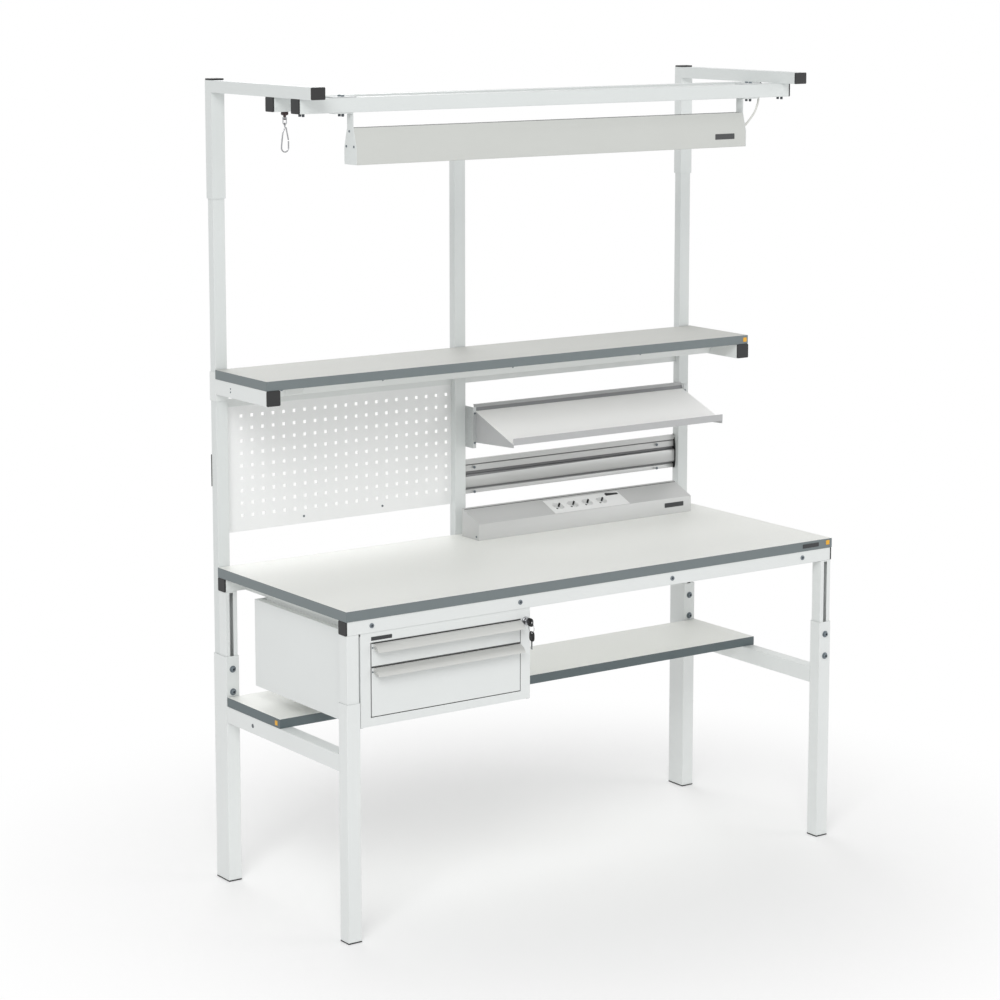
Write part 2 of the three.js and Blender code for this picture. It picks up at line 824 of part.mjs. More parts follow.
/** A pull curved out and down from a drawer front's top edge, closed by a cheek at each end. */
function drawerHandle(top) {
  const face = cabinetFront;
  const shoulder = face - handleReach * handleShoulderShare;
  const elbow = face - handleReach * handleElbowShare;
  const shoulderZ = top - handleDrop * handleShoulderDropShare;
  const elbowZ = top - handleDrop * handleElbowDropShare;
  const lip = face - handleReach;
  const outer = [[face, top], [shoulder, shoulderZ], [elbow, elbowZ], [lip, top - handleDrop]];
  const pull = outline([
    ...outer,
    [lip + handleSheet, top - handleDrop],
    [elbow + handleSheet * half, elbowZ - handleSheet],
    [shoulder, shoulderZ - handleSheet],
    [face - handleSheet, top - handleSheet],
    [face - handleSheet, top - handleBack],
    [face, top - handleBack],
  ]);
  const cheek = outline([...outer, [face, top - handleBack]]);
  const x = frontX;
  const left = prismX(cheek, [x[0], x[0] + handleCheek]);
  const right = prismX(cheek, [x[1] - handleCheek, x[1]]);
  return join(prismX(pull, x), left, right);
}
addPart(cabinet, "handle_upper", drawerHandle(upperFrontZ[1]), "handle");
addPart(cabinet, "handle_lower", drawerHandle(lowerFrontZ[1]), "handle");

// Lock, key and the ring that carries the spare key

function lockHousing() {
  const flange = roundY(lockFlangeRadius, lockX, lockZ, [cabinetFront - lockProud, cabinetFront]);
  const bodyRear = cabinetFront + lockBodyLength;
  const body = roundY(lockBodyRadius, lockX, lockZ, [cabinetFront - overrun, bodyRear]);
  const boreY = [cabinetFront - lockProud - overrun, bodyRear + overrun];
  return cut(join(flange, body), roundY(lockBore, lockX, lockZ, boreY));
}
addPart(cabinet, "lock_housing", lockHousing(), "chrome");

const lockFaceY = cabinetFront - lockProud;
const headRearY = lockFaceY - keyHeadGap;
const headFrontY = headRearY - keyHeadLength;
const keyHoleY = headFrontY + keyHoleInset;

/** A flat bow with bevelled corners, drawn in Y and Z. */
function bow([y0, y1], [z0, z1]) {
  return [
    [y0 + keyCorner, z0], [y1 - keyCorner, z0], [y1, z0 + keyCorner], [y1, z1 - keyCorner],
    [y1 - keyCorner, z1], [y0 + keyCorner, z1], [y0, z1 - keyCorner], [y0, z0 + keyCorner],
  ];
}

function keyWithPlug() {
  const plug = roundY(plugRadius, lockX, lockZ, [lockFaceY, lockFaceY + plugLength]);
  const blade = block(
    centred(lockX, bladeThickness),
    [headRearY - overrun, lockFaceY + overrun],
    centred(lockZ, bladeHeight),
  );
  const headShape = outline(bow([headFrontY, headRearY], centred(lockZ, keyHeadHeight)));
  const head = prismX(headShape, centred(lockX, keyThickness));
  const hole = roundX(keyHoleRadius, keyHoleY, lockZ, centred(lockX, keyThickness + 2 * overrun));
  return join(plug, blade, cut(head, hole));
}
addPart(cabinet, "key", keyWithPlug(), "black");

const ringTop = lockZ - ringSag;
const spareTop = ringTop - 2 * ringRadius + spareHeadCover;

function ringAndSpareKey() {
  const ring = new THREE.TorusGeometry(ringRadius, ringWire, 6, 20);
  ring.rotateX(Math.PI * half).translate(lockX, keyHoleY, ringTop - ringRadius);
  const headZ = [spareTop - spareHeadHeight, spareTop];
  const headShape = outline(bow(centred(keyHoleY, spareHeadWidth), headZ));
  const head = prismX(headShape, centred(lockX, keyThickness));
  const blade = block(
    centred(lockX, bladeThickness),
    centred(keyHoleY, bladeHeight),
    [headZ[0] - spareBladeLength, headZ[0] + overrun],
  );
  return join(ring, head, blade);
}
addPart(cabinet, "key_ring_and_spare_key", ringAndSpareKey(), "black");

// Upper shelf on its brackets

/** A sleeve round a side post, joined to an arm that reaches forward from it. */
function armBracket(side, sleeveZ, armFront, armZ, capThickness) {
  const x = mirrored(side, sleeveInnerX, deskHalf);
  const sleeveY = [postFrontSleeveY, sleeveRearY];
  const sleeve = tubeZ(x, sleeveY, sleeveZ, tubeWall);
  const arm = tubeY(x, [armFront, postFrontSleeveY + tubeWall], armZ, tubeWall);
  const pieces = [sleeve, arm];
  if (capThickness > 0) pieces.push(block(x, sleeveY, [sleeveZ[1] - capThickness, sleeveZ[1]]));
  return join(...pieces);
}

const shelfBottom = backRailTop + shelfAboveBackRail;
const shelfRear = postFrontSleeveY;
const shelfFront = shelfRear - shelfDepth;
for (const side of sides) {
  const bracket = armBracket(
    side,
    [shelfBottom - shelfSleeveBelow, shelfBottom + shelfSleeveAbove],
    shelfFront - shelfArmOverhang,
    [shelfBottom - shelfArmHeight, shelfBottom],
    0,
  );
  addPart(upperShelf, `shelf_bracket_${sideNames.get(side)}`, bracket, "steel");
}
const shelfZ = [shelfBottom, shelfBottom + shelfThickness];
addPart(upperShelf, "upper_shelf", block(deskX, [shelfFront, shelfRear], shelfZ), "laminate");

const shelfBeamFront = shelfFront + shelfBeamSetback;
const shelfBeamRear = shelfBeamFront + shelfBeamDepth;
const shelfBeamBottom = shelfBottom - shelfBeamHeight;
const beamKnee = shelfBottom - shelfBeamChamferHeight;
const beamOutline = (wall) => [
  [shelfBeamFront + shelfBeamChamfer + wall * half, shelfBeamBottom + wall],
  [shelfBeamRear - wall, shelfBeamBottom + wall],
  [shelfBeamRear - wall, shelfBottom - wall],
  [shelfBeamFront + wall, shelfBottom - wall],
  [shelfBeamFront + wall, beamKnee],
];
const beamShape = outline(beamOutline(0));
beamShape.holes.push(outline(beamOutline(tubeWall)));
addPart(upperShelf, "shelf_beam", prismX(beamShape, [-sleeveInnerX, sleeveInnerX]), "steel");

// Gantry: two frames and two cross rails under their arms

const gantryArmFront = postFrontSleeveY - gantryArmReach;
const frontCrossRail = gantryArmFront + frontCrossRailInset;
const rearCrossRail = gantryArmFront + rearCrossRailInset;

for (const side of sides) {
  const frame = armBracket(
    side,
    [gantryTop - gantrySleeveHeight, gantryTop],
    gantryArmFront,
    [crossRailTop, gantryTop],
    gantryCapThickness,
  );
  addPart(gantry, `gantry_frame_${sideNames.get(side)}`, frame, "steel");
}
const crossRailX = [-deskHalf, deskHalf - crossRailShort];
const crossRailZ = [crossRailBottom, crossRailTop];
const frontCrossRailY = [frontCrossRail, frontCrossRail + crossRailSection];
const rearCrossRailY = [rearCrossRail, rearCrossRail + crossRailSection];
const frontTube = tubeX(crossRailX, frontCrossRailY, crossRailZ, tubeWall);
addPart(gantry, "cross_rail_front", frontTube, "steel");

const slotMiddle = rearCrossRail + crossRailSection * half;

function slottedRail() {
  const tube = tubeX(crossRailX, rearCrossRailY, crossRailZ, tubeWall);
  const slot = block(
    [crossRailX[0] - overrun, crossRailX[1] + overrun],
    centred(slotMiddle, crossRailSlot),
    [crossRailBottom - overrun, crossRailBottom + tubeWall + overrun],
  );
  return cut(tube, slot);
}
addPart(gantry, "cross_rail_rear", slottedRail(), "steel");

// Lamp between two hangers that carry it under the front cross rail

const lampLeft = -deskHalf + lampLeftInset;
const lampRight = lampLeft + lampLength;
const lampBottom = crossRailBottom - lampDrop;
const lampKnee = lampBottom + lampLowHeight;
const lampTop = lampBottom + lampHeight;
const lampMiddleY = frontCrossRail + crossRailSection * half - lampForward;
const lampHalf = lampDepth * half;
const lampTopHalf = lampTopDepth * half;

/** The lamp's section, drawn in Y and Z and drawn in by a wall. */
function lampOutline(wall, bottom) {
  return [
    [lampMiddleY - lampHalf + wall, bottom],
    [lampMiddleY + lampHalf - wall, bottom],
    [lampMiddleY + lampHalf - wall, lampKnee],
    [lampMiddleY + lampTopHalf - wall, lampTop - wall],
    [lampMiddleY - lampTopHalf + wall, lampTop - wall],
    [lampMiddleY - lampHalf + wall, lampKnee],
  ];
}
const lampX = [lampLeft + lampPlate, lampRight - lampPlate];
const lampShell = cut(
  prismX(outline(lampOutline(0, lampBottom)), lampX),
  prismX(outline(lampOutline(lampWall, lampBottom - overrun)), [lampX[0] - overrun, lampX[1] + overrun]),
);
addPart(gantry, "lamp_body", lampShell, "steel");
const diffuser = block(
  lampX,
  shrink([lampMiddleY - lampHalf, lampMiddleY + lampHalf], lampWall + diffuserClearance),
  [lampBottom, lampBottom + diffuserThickness],
);
addPart(gantry, "lamp_diffuser", diffuser, "diffuser");

/** An end plate whose neck rises to the cross rail and folds outward under it. */
function lampHanger(side) {
  const inner = side < 0 ? lampX[0] : lampX[1];
  const outer = inner + side * lampPlate;
  const x = span(inner, outer);
  const plate = prismX(outline(lampOutline(0, lampBottom)), x);
  const neckY = centred(lampMiddleY, lampTopDepth);
  const neck = block(x, neckY, [lampTop - overrun, crossRailBottom]);
  const flangeX = span(inner, outer + side * lampFlange);
  const flange = block(flangeX, neckY, [crossRailBottom - lampFlangeSheet, crossRailBottom]);
  return join(plate, neck, flange);
}
for (const side of sides) {
  addPart(gantry, `lamp_hanger_${sideNames.get(side)}`, lampHanger(side), "steel");
}

/** A closed tube of constant radius along a list of points. */
function wireAlong(points, radius, sidesRound, steps) {
  const curve = new THREE.CatmullRomCurve3(points.map((p) => new THREE.Vector3(...p)));
  const ring = [];
  for (let index = 0; index < sidesRound; index += 1) {
    const angle = (2 * Math.PI * (index + half)) / sidesRound;
    ring.push([radius * Math.cos(angle), radius * Math.sin(angle)]);
  }
  return new THREE.ExtrudeGeometry(outline(ring), { steps, extrudePath: curve });
}
const cordPoints = cordRoute.map(([out, back, up]) => [
  lampRight + out,
  lampMiddleY + back,
  lampBottom + cordExitHeight + up,
]);
cordPoints.at(-1)[2] = crossRailBottom - cordSlack;
addPart(gantry, "lamp_cord", wireAlong(cordPoints, cordRadius, cordSides, cordSteps), "cord");

// Trolley in the rear rail's slot, with a snap hook that swivels on its pin

const trolleyX = -deskHalf + trolleyFromEnd;
const trolleyBottom = crossRailBottom - trolleyDrop;
const eyeTop = trolleyBottom - eyeGap;
const eyeBottom = eyeTop - eyeThickness;
const pinHeadTop = eyeBottom - eyeGap;

function trolley() {
  const headBottom = crossRailBottom + tubeWall + trolleyRunClearance;
  const inside = crossRailSection - 2 * (tubeWall + trolleyHeadClearance);
  const head = block(
    centred(trolleyX, trolleyHeadLength),
    centred(slotMiddle, inside),
    [headBottom, headBottom + trolleyHeadHeight],
  );
  const stem = block(
    centred(trolleyX, trolleyHeadLength),
    centred(slotMiddle, trolleyStem),
    [crossRailBottom - overrun, headBottom + overrun],
  );
  const body = block(
    centred(trolleyX, trolleyBodyLength),
    centred(slotMiddle, trolleyBodyWidth),
    [trolleyBottom, crossRailBottom - trolleyRunClearance],
  );
  const pin = roundZ(pinRadius, trolleyX, slotMiddle, [pinHeadTop - overrun, trolleyBottom + overrun]);
  const pinHeadZ = [pinHeadTop - pinHeadHeight, pinHeadTop];
  return join(head, stem, body, pin, roundZ(pinHeadRadius, trolleyX, slotMiddle, pinHeadZ));
}
addPart(gantry, "trolley", trolley(), "chrome");

const stirrupBottom = eyeBottom - stirrupDrop;
const hookTop = stirrupBottom + stirrupWall;

/** Height on the hook at a share of its length down from its top. */
const hookLevel = (share) => hookTop - hookHeight * share;
const gateTop = hookLevel(gateTopShare);
const gateBottom = hookLevel(hookNoseShare) + gateGap + hookWire;

function snapHook() {
  const eye = cut(
    roundZ(eyeRadius, trolleyX, slotMiddle, [eyeBottom, eyeTop]),
    roundZ(eyeBore, trolleyX, slotMiddle, [eyeBottom - overrun, eyeTop + overrun]),
  );
  const legHalf = eyeRadius - stirrupWall * half;
  const legs = sides.map((side) =>
    block(
      centred(trolleyX + side * legHalf, stirrupWall),
      centred(slotMiddle, 2 * hookWire),
      [stirrupBottom, eyeBottom + overrun],
    ),
  );
  const bar = block(
    centred(trolleyX, 2 * legHalf + stirrupWall),
    centred(slotMiddle, 2 * hookWire),
    [stirrupBottom, stirrupBottom + stirrupWall],
  );
  const wide = hookWidth * half;
  const wireBottom = hookLevel(1) + hookWire;
  const route = [
    [0, hookTop - hookWire],
    [0, gateTop],
    [-hookNeck, hookLevel(hookShoulderShare)],
    [-wide, hookLevel(hookWidestShare)],
    [-wide * half, wireBottom + hookWire * half],
    [0, wireBottom],
    [wide * half, wireBottom + hookWire * half],
    [wide, hookLevel(hookWidestShare)],
    [wide - hookWire, hookLevel(hookNoseShare)],
  ].map(([x, z]) => [trolleyX + x, slotMiddle, z]);
  return join(eye, ...legs, bar, wireAlong(route, hookWire, hookSides, hookSteps));
}
addPart(gantry, "snap_hook", snapHook(), "chrome");

/** The sprung gate: a bar from its pivot beside the neck down to the hook's nose. */
function hookGate() {
  const topX = trolleyX + hookWire + gateGap;
  const noseX = trolleyX + hookWidth * half - hookWire - gateThickness * half;
  const bar = outline([
    [topX, gateTop],
    [noseX, gateBottom],
    [noseX + gateThickness, gateBottom],
    [topX + gateThickness, gateTop],
  ]);
  return prismY(bar, centred(slotMiddle, 2 * hookWire));
}
addPart(gantry, "hook_gate", hookGate(), "chrome");

// The origin lies on the floor under the middle of the bench's outer box
const spareFrontY = keyHoleY - spareHeadWidth * half;
bench.position.y = -(spareFrontY + sleeveRearY) * half;

export default bench;
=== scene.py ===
"""The finished look of a height-adjustable workbench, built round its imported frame."""

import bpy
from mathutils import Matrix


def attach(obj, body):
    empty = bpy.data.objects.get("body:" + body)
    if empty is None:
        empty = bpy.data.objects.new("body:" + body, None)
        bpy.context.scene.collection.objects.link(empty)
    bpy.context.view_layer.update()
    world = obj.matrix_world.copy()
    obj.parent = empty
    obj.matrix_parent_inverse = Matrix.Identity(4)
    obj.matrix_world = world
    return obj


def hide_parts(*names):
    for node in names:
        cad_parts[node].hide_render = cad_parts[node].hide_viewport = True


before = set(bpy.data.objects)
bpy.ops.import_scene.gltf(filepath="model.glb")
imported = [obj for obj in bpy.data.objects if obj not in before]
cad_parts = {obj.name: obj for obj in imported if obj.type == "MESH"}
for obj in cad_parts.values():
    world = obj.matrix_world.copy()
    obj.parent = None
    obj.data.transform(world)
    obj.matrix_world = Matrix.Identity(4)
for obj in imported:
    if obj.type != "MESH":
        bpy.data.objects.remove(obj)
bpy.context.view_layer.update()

import logging
import math
from dataclasses import dataclass
from enum import Enum, IntEnum
from typing import Any, Callable, Iterable, Sequence

import bmesh
import bpy
from mathutils import Matrix, Vector
from mathutils.geometry import interpolate_bezier

log = logging.getLogger("workbench")

MM = 0.001
DESK_FRONT = -358.75
BEVEL_SEGMENTS = 2
CORNER_SEGMENTS = 5
SMOOTH_BELOW = math.radians(20)
SHARP_ABOVE = math.radians(30)
SAME_PLACE = 1e-5
LEVEL = 0.95
PLATE_THICKNESS = 0.8
PLATE_CORNER = 1.6
PLATE_RIM = 0.25
CAP_DEPTH = 5
CAP_CORNER = 3.0
CAP_RIM = 0.7
STICKER_SIZE = (14, 14)
TUBE_EDGE, LEG_EDGE, SHEET_EDGE, FINE_EDGE = 1.6, 1.2, 0.4, 0.2
COARSE, MEDIUM, FINE, FINEST = 20, 32, 40, 48
SIDES = {"left": -1, "right": 1}
ROWS = ("front", "rear")
FRONT, UP, DOWN = (0, -1, 0), (0, 0, 1), (0, 0, -1)

Mesh = bmesh.types.BMesh
Piece = bpy.types.Object
Span = tuple[float, float]
Triple = tuple[float, float, float]
Outline = Sequence[Span]


class Body(Enum):
    """The bodies that pieces ride on."""

    STAND = "stand"
    DESK = "desk"
    ROCKER = "rocker"
    DRAWER_UPPER = "drawer_upper"
    DRAWER_LOWER = "drawer_lower"
    KEY = "key"
    KEY_RING = "key_ring"
    UPPER_SHELF = "upper_shelf"
    GANTRY = "gantry"
    TROLLEY = "trolley"
    SNAP_HOOK = "snap_hook"
    HOOK_GATE = "hook_gate"


class Axis(IntEnum):
    """The axes, by their place in a vector."""

    X = 0
    Y = 1
    Z = 2


def at(x: float, y: float, z: float) -> Vector:
    """A point in metres from millimetres: X from the middle, Y from the desk's front, Z up."""
    return Vector((x, y + DESK_FRONT, z)) * MM


# Materials


class Signal:
    """A node's output that takes part in Python arithmetic."""

    def __init__(self, tree: "Tree", socket: bpy.types.NodeSocket) -> None:
        """Keeps the tree and the socket that the value comes from."""
        self.tree, self.socket = tree, socket

    def math(self, operation: str, other: "Signal | float") -> "Signal":
        """A Math node's result for this value and another."""
        return self.tree.add("ShaderNodeMath", {0: self, 1: other}, operation=operation)

    def __add__(self, other: "Signal | float") -> "Signal":
        """The sum."""
        return self.math("ADD", other)

    def __mul__(self, other: "Signal | float") -> "Signal":
        """The product."""
        return self.math("MULTIPLY", other)

    def between(self, low: float, high: float) -> "Signal":
        """A smooth step from 0 below low to 1 above high."""
        values = {0: self, 1: low, 2: high}
        return self.tree.add("ShaderNodeMapRange", values, interpolation_type="SMOOTHSTEP")


class Tree:
    """The nodes of a material or of the world, with short ways to add to them."""

    def __init__(self, block: bpy.types.Material | bpy.types.World, shader: str) -> None:
        """Opens the tree of a new material or world, and finds its shader.

        Args:
            block: The material or the world.
            shader: The name of its shader's node.
        """
        block.use_nodes = True
        self.nodes, self.links = block.node_tree.nodes, block.node_tree.links
        self.shader = self.nodes[shader]

    def add(self, kind: str, values: dict[Any, Any], output: Any = 0, **settings: Any) -> Signal:
        """Adds a node.

        Args:
            kind: The node's type.
            values: A value or a signal for each socket, by name or number.
            output: The output that is asked for, by name or number.
            settings: What is set on the node before its sockets.

        Returns:
            The output.
        """
        node = self.nodes.new(kind)
        for key, value in settings.items():
            setattr(node, key, value)
        self.feed(node, values)
        return Signal(self, node.outputs[output])

    def feed(self, node: bpy.types.Node, values: dict[Any, Any]) -> None:
        """Links each signal to its socket, and sets each plain value on its socket.

        Args:
            node: The node.
            values: A value or a signal for each socket, by name or number.
        """
        for key, value in values.items():
            if isinstance(value, Signal):
                self.links.new(value.socket, node.inputs[key])
            else:
                node.inputs[key].default_value = value

    def place(self, stretch: Triple = (1, 1, 1)) -> Signal:
        """Object coordinates in metres, scaled along each axis."""
        here = self.add("ShaderNodeTexCoord", {}, "Object")
        return self.add("ShaderNodeMapping", {"Vector": here, "Scale": stretch})

    def noise(self, scale: float, detail: float = 2, stretch: Triple = (1, 1, 1)) -> Signal:
        """A noise from 0 to 1, its scale in cells to the metre."""
        values = {"Vector": self.place(stretch), "Scale": scale, "Detail": detail}
        return self.add("ShaderNodeTexNoise", values)

    def cells(self, scale: float) -> Signal:
        """The grey of random cells, their scale in cells to the metre."""
        colour = self.add("ShaderNodeTexVoronoi", {"Vector": self.place(), "Scale": scale}, "Color")
        return self.add("ShaderNodeRGBToBW", {0: colour})

    def mix(self, amount: Signal, first: Any, second: Any) -> Signal:
        """A colour between two."""
        return self.add("ShaderNodeMix", {0: amount, 6: first, 7: second}, 2, data_type="RGBA")

    def seen(self) -> Signal:
        """1 for camera, glossy and transmission rays, or else 0.

        Returns:
            The signal.
        """
        kinds = ("Is Camera Ray", "Is Glossy Ray", "Is Transmission Ray")
        camera, glossy, through = (self.add("ShaderNodeLightPath", {}, kind) for kind in kinds)
        return camera.math("MAXIMUM", glossy).math("MAXIMUM", through)


@dataclass(frozen=True)
class Finish:
    """A finish: its plain values, and a pattern that each kind lays over them.

    Attributes:
        name: Its name, from which the material's name is made.
        slot: The record's material slot; not used.
        colour: Its colour, written as 0 to 255.
        roughness: Its mean roughness.
        metallic: 1 for bare metal.
        specular: How strongly it mirrors, 0.5 for a common paint.
    """

    name: str
    slot: str
    colour: Triple
    roughness: float = 0.45
    metallic: float = 0.0
    specular: float = 0.5

    def material(self) -> bpy.types.Material:
        """Makes the material on first use.

        Returns:
            The material, which all its pieces share.
        """
        name = f"{self.name}_surface"
        if name not in bpy.data.materials:
            tree = Tree(bpy.data.materials.new(name), "Principled BSDF")
            tree.feed(tree.shader, {
                "Metallic": self.metallic, "Roughness": self.roughness,
                "Specular IOR Level": self.specular,
            })
            self.lay(tree)
        return bpy.data.materials[name]

    def lay(self, tree: Tree) -> None:
        """Lays the kind's own pattern."""
        raise NotImplementedError

    def shade(self, steps: float) -> tuple[float, ...]:
        """The colour, lighter by some steps of 255, in the shader's linear values."""
        parts = [min(255.0, max(0.0, c + steps)) / 255 for c in self.colour]
        return (*(c / 12.92 if c <= 0.04045 else ((c + 0.055) / 1.055) ** 2.4 for c in parts), 1.0)

    def dress(
        self, tree: Tree, colour: tuple[Signal, float] | Signal, rough: Signal, low: float,
        relief: tuple[Signal, float, float],
    ) -> None:
        """Feeds the shader.

        Args:
            tree: The material's tree.
            colour: The colour, or a tone from 0 to 1 and its steps to each side of the colour.
            rough: What varies the roughness.
            low: How far that starts below the mean.
            relief: A bump's height, its depth in millimetres and its strength.
        """
        if isinstance(colour, tuple):
            colour = tree.mix(colour[0], self.shade(-colour[1]), self.shade(colour[1]))
        height, depth, strength = relief
        values = {"Height": height, "Distance": depth * MM, "Strength": strength}
        tree.feed(tree.shader, {
            "Base Color": colour, "Roughness": rough + (self.roughness - low),
            "Normal": tree.add("ShaderNodeBump", values),
        })


@dataclass(frozen=True)
class PowderCoat(Finish):
    """Baked powder coat with its fine orange peel and a faint cloud."""

    def lay(self, tree: Tree) -> None:
        """Lays the peel, a finer grain and the cloud.

        Args:
            tree: The material's tree.
        """
        peel, fine, cloud = tree.noise(520), tree.noise(2600, 1), tree.noise(5, 3)
        rough = peel * 0.12 + fine * 0.08
        tone = cloud * 0.7 + fine * 0.3
        self.dress(tree, (tone, 3), rough, 0.1, (peel + fine * 0.3, 0.12, 0.7))


@dataclass(frozen=True)
class Laminate(Finish):
    """Pale laminate: a pebbled press texture, fine specks and light scuffs along the board."""

    def lay(self, tree: Tree) -> None:
        """Lays specks, a pebble relief and long scuffs.

        Args:
            tree: The material's tree.
        """
        specks = tree.noise(900).between(0.56, 0.7)
        scuff = tree.noise(14, 4, (1, 22, 22)).between(0.55, 0.75)
        pebble = tree.noise(1100)
        body = tree.mix(tree.noise(3, 3), self.shade(-2), self.shade(2))
        colour = tree.mix(specks * 0.5, body, self.shade(-18))
        self.dress(tree, colour, scuff * 0.12 + pebble * 0.1, 0.08, (pebble, 0.08, 0.6))


@dataclass(frozen=True)
class Drawn(Finish):
    """Metal drawn lengthwise along the bench."""

    def lay(self, tree: Tree) -> None:
        """Lays fine lines along the bench, with a slow change in shade.

        Args:
            tree: The material's tree.
        """
        lines = tree.noise(16, 3, (0.6, 60, 60))
        tone = lines * 0.6 + tree.noise(4) * 0.4
        self.dress(tree, (tone, 7), lines * 0.22, 0.1, (lines, 0.03, 0.6))


@dataclass(frozen=True)
class Plated(Finish):
    """Zinc or nickel plate with a faint spangle and smudges."""

    def lay(self, tree: Tree) -> None:
        """Lays crystal cells and smudges.

        Args:
            tree: The material's tree.
        """
        spangle, smudge = tree.cells(420), tree.noise(60, 3)
        tone = spangle * 0.5 + smudge * 0.5
        self.dress(tree, (tone, 12), smudge * 0.2, 0.08, (spangle, 0.01, 0.4))


@dataclass(frozen=True)
class Moulded(Finish):
    """Moulded plastic or rubber with a spark-eroded grain."""

    grain: float = 1800
    depth: float = 0.06

    def lay(self, tree: Tree) -> None:
        """Lays the grain, with a shade lighter where hands rub it.

        Args:
            tree: The material's tree.
        """
        grain, rub = tree.noise(self.grain), tree.noise(30, 3)
        tone = rub * 0.6 + grain * 0.4
        self.dress(tree, (tone, 4), rub * 0.14, 0.07, (grain, self.depth, 0.6))


@dataclass(frozen=True)
class Opal(Finish):
    """An opal lamp cover with fine prisms across it."""

    def lay(self, tree: Tree) -> None:
        """Lays the prisms and a soft cloud.

        Args:
            tree: The material's tree.
        """
        prisms, cloud = tree.noise(420, 0, (1, 0.02, 0.02)), tree.noise(12)
        self.dress(tree, (cloud, 3), cloud * 0.1, 0, (prisms, 0.2, 0.5))


COAT = PowderCoat("coat", "powder_coat", (226, 229, 228), 0.44)
# The frame coat darkened for the posts, cross rails, arms and lamp hangers: painted shade.
COAT_POST_SHADE = PowderCoat("post_coat_painted_shade", "powder_coat", (218, 222, 221), 0.44)
COAT_PANEL = PowderCoat("panel", "panel_coat", (240, 241, 241), 0.5)
# The tray's coat, lightened as painted light for its top and darkened as painted shade for its
# steep lip and sides.
COAT_TRAY_LIT = PowderCoat("tray_coat_painted_light", "panel_coat", (246, 246, 245), 0.5)
TRAY_SIDE_SHADE = PowderCoat("tray_side_painted_shade", "panel_coat", (182, 183, 184), 0.45)
LAMP_COAT = PowderCoat("lamp_coat", "powder_coat", (201, 203, 199), 0.5)
# The lamp coat darkened for the housing's upward faces: painted shade.
LAMP_TOP_SHADE = PowderCoat("lamp_top_painted_shade", "powder_coat", (112, 114, 112), 0.6)
TOP = Laminate("desk_laminate", "laminate", (240, 241, 237), 0.5, specular=0.4)
# The laminate darkened for the upper shelf, which sees more of the light: painted shade.
TOP_SHELF_SHADE = Laminate("shelf_laminate_painted_shade", "laminate", (203, 204, 200), 0.6, specular=0.2)
EDGE = Moulded("edging", "laminate", (111, 120, 122), 0.4, grain=900)
EDGE_DARK = Moulded("edging_dark", "laminate", (88, 100, 103), 0.4, grain=900)
ALUMINIUM = Drawn("anodised", "aluminium", (190, 191, 190), 0.4, 0.45)
ALUMINIUM_DULL = Drawn("anodised_dull", "aluminium", (197, 198, 197), 0.44, 0.3)
# Darker anodising for the faces inside the tool rail's grooves: painted shade.
GROOVE_SHADE = Drawn("anodised_groove_painted_shade", "aluminium", (124, 125, 126), 0.55, 0.2)
PULL = Drawn("pull_anodised", "handle_aluminium", (202, 203, 200), 0.42, 0.25)
# A dark grey for the tray's rear upstand, which faces forward in shade: painted shade.
TRIM_SHADE = Drawn("tray_trim_painted_shade", "panel_coat", (138, 139, 141), 0.4, 0.3)
ZINC = Plated("zinc_plate", "zinc", (118, 127, 133), 0.5, 0.35)
# Darker zinc: painted shade inside the screws' drive hollows; the bolt ends under the rails wear it
# as well.
ZINC_DARK = Plated("zinc_dark", "zinc", (72, 77, 82), 0.55, 0.35)
ZINC_PLATE = Plated("zinc_sheet", "zinc", (194, 197, 197), 0.45, 0.35)
CHROME = Plated("nickel", "chrome", (168, 169, 171), 0.24, 1.0)
CAP = Moulded("cap_black", "foot_rubber", (31, 32, 33), 0.55)
RUBBER = Moulded("rubber", "foot_rubber", (34, 35, 36), 0.75, depth=0.12)
KEY_BLACK = Moulded("bow_black", "key_black", (20, 20, 21), 0.4)
KEY_PAD = Moulded("bow_pad", "key_black", (44, 44, 45), 0.5)
SWITCH = Moulded("rocker_black", "switch_black", (24, 24, 26), 0.3)
SOCKET = Moulded("socket_moulding", "socket_white", (233, 234, 233), 0.36)
# Near black for holes, recesses and gaps, standing in for the shade inside them: painted shade.
HOLE_SHADE = Moulded("hole_painted_shade", "switch_black", (26, 26, 28), 0.7)
OPAL = Opal("opal", "diffuser", (236, 236, 233), 0.5)
CORD = Moulded("cord_pale", "cord_white", (216, 216, 211), 0.5, grain=700)
DARK_PLATE = Moulded("blank_plate", "foot_rubber", (46, 48, 50), 0.35)
ROLLER = Moulded("roller_dark", "chrome", (58, 40, 40), 0.4)
STICKER = Moulded("sticker_yellow", "panel_coat", (232, 172, 46), 0.45)


# Making pieces


def put(name: str, data: Any) -> Piece:
    """A new object in the scene.

    Args:
        name: The object's name.
        data: Its mesh, curve, lamp or camera.

    Returns:
        The object.
    """
    piece = bpy.data.objects.new(name, data)
    bpy.context.scene.collection.objects.link(piece)
    return piece


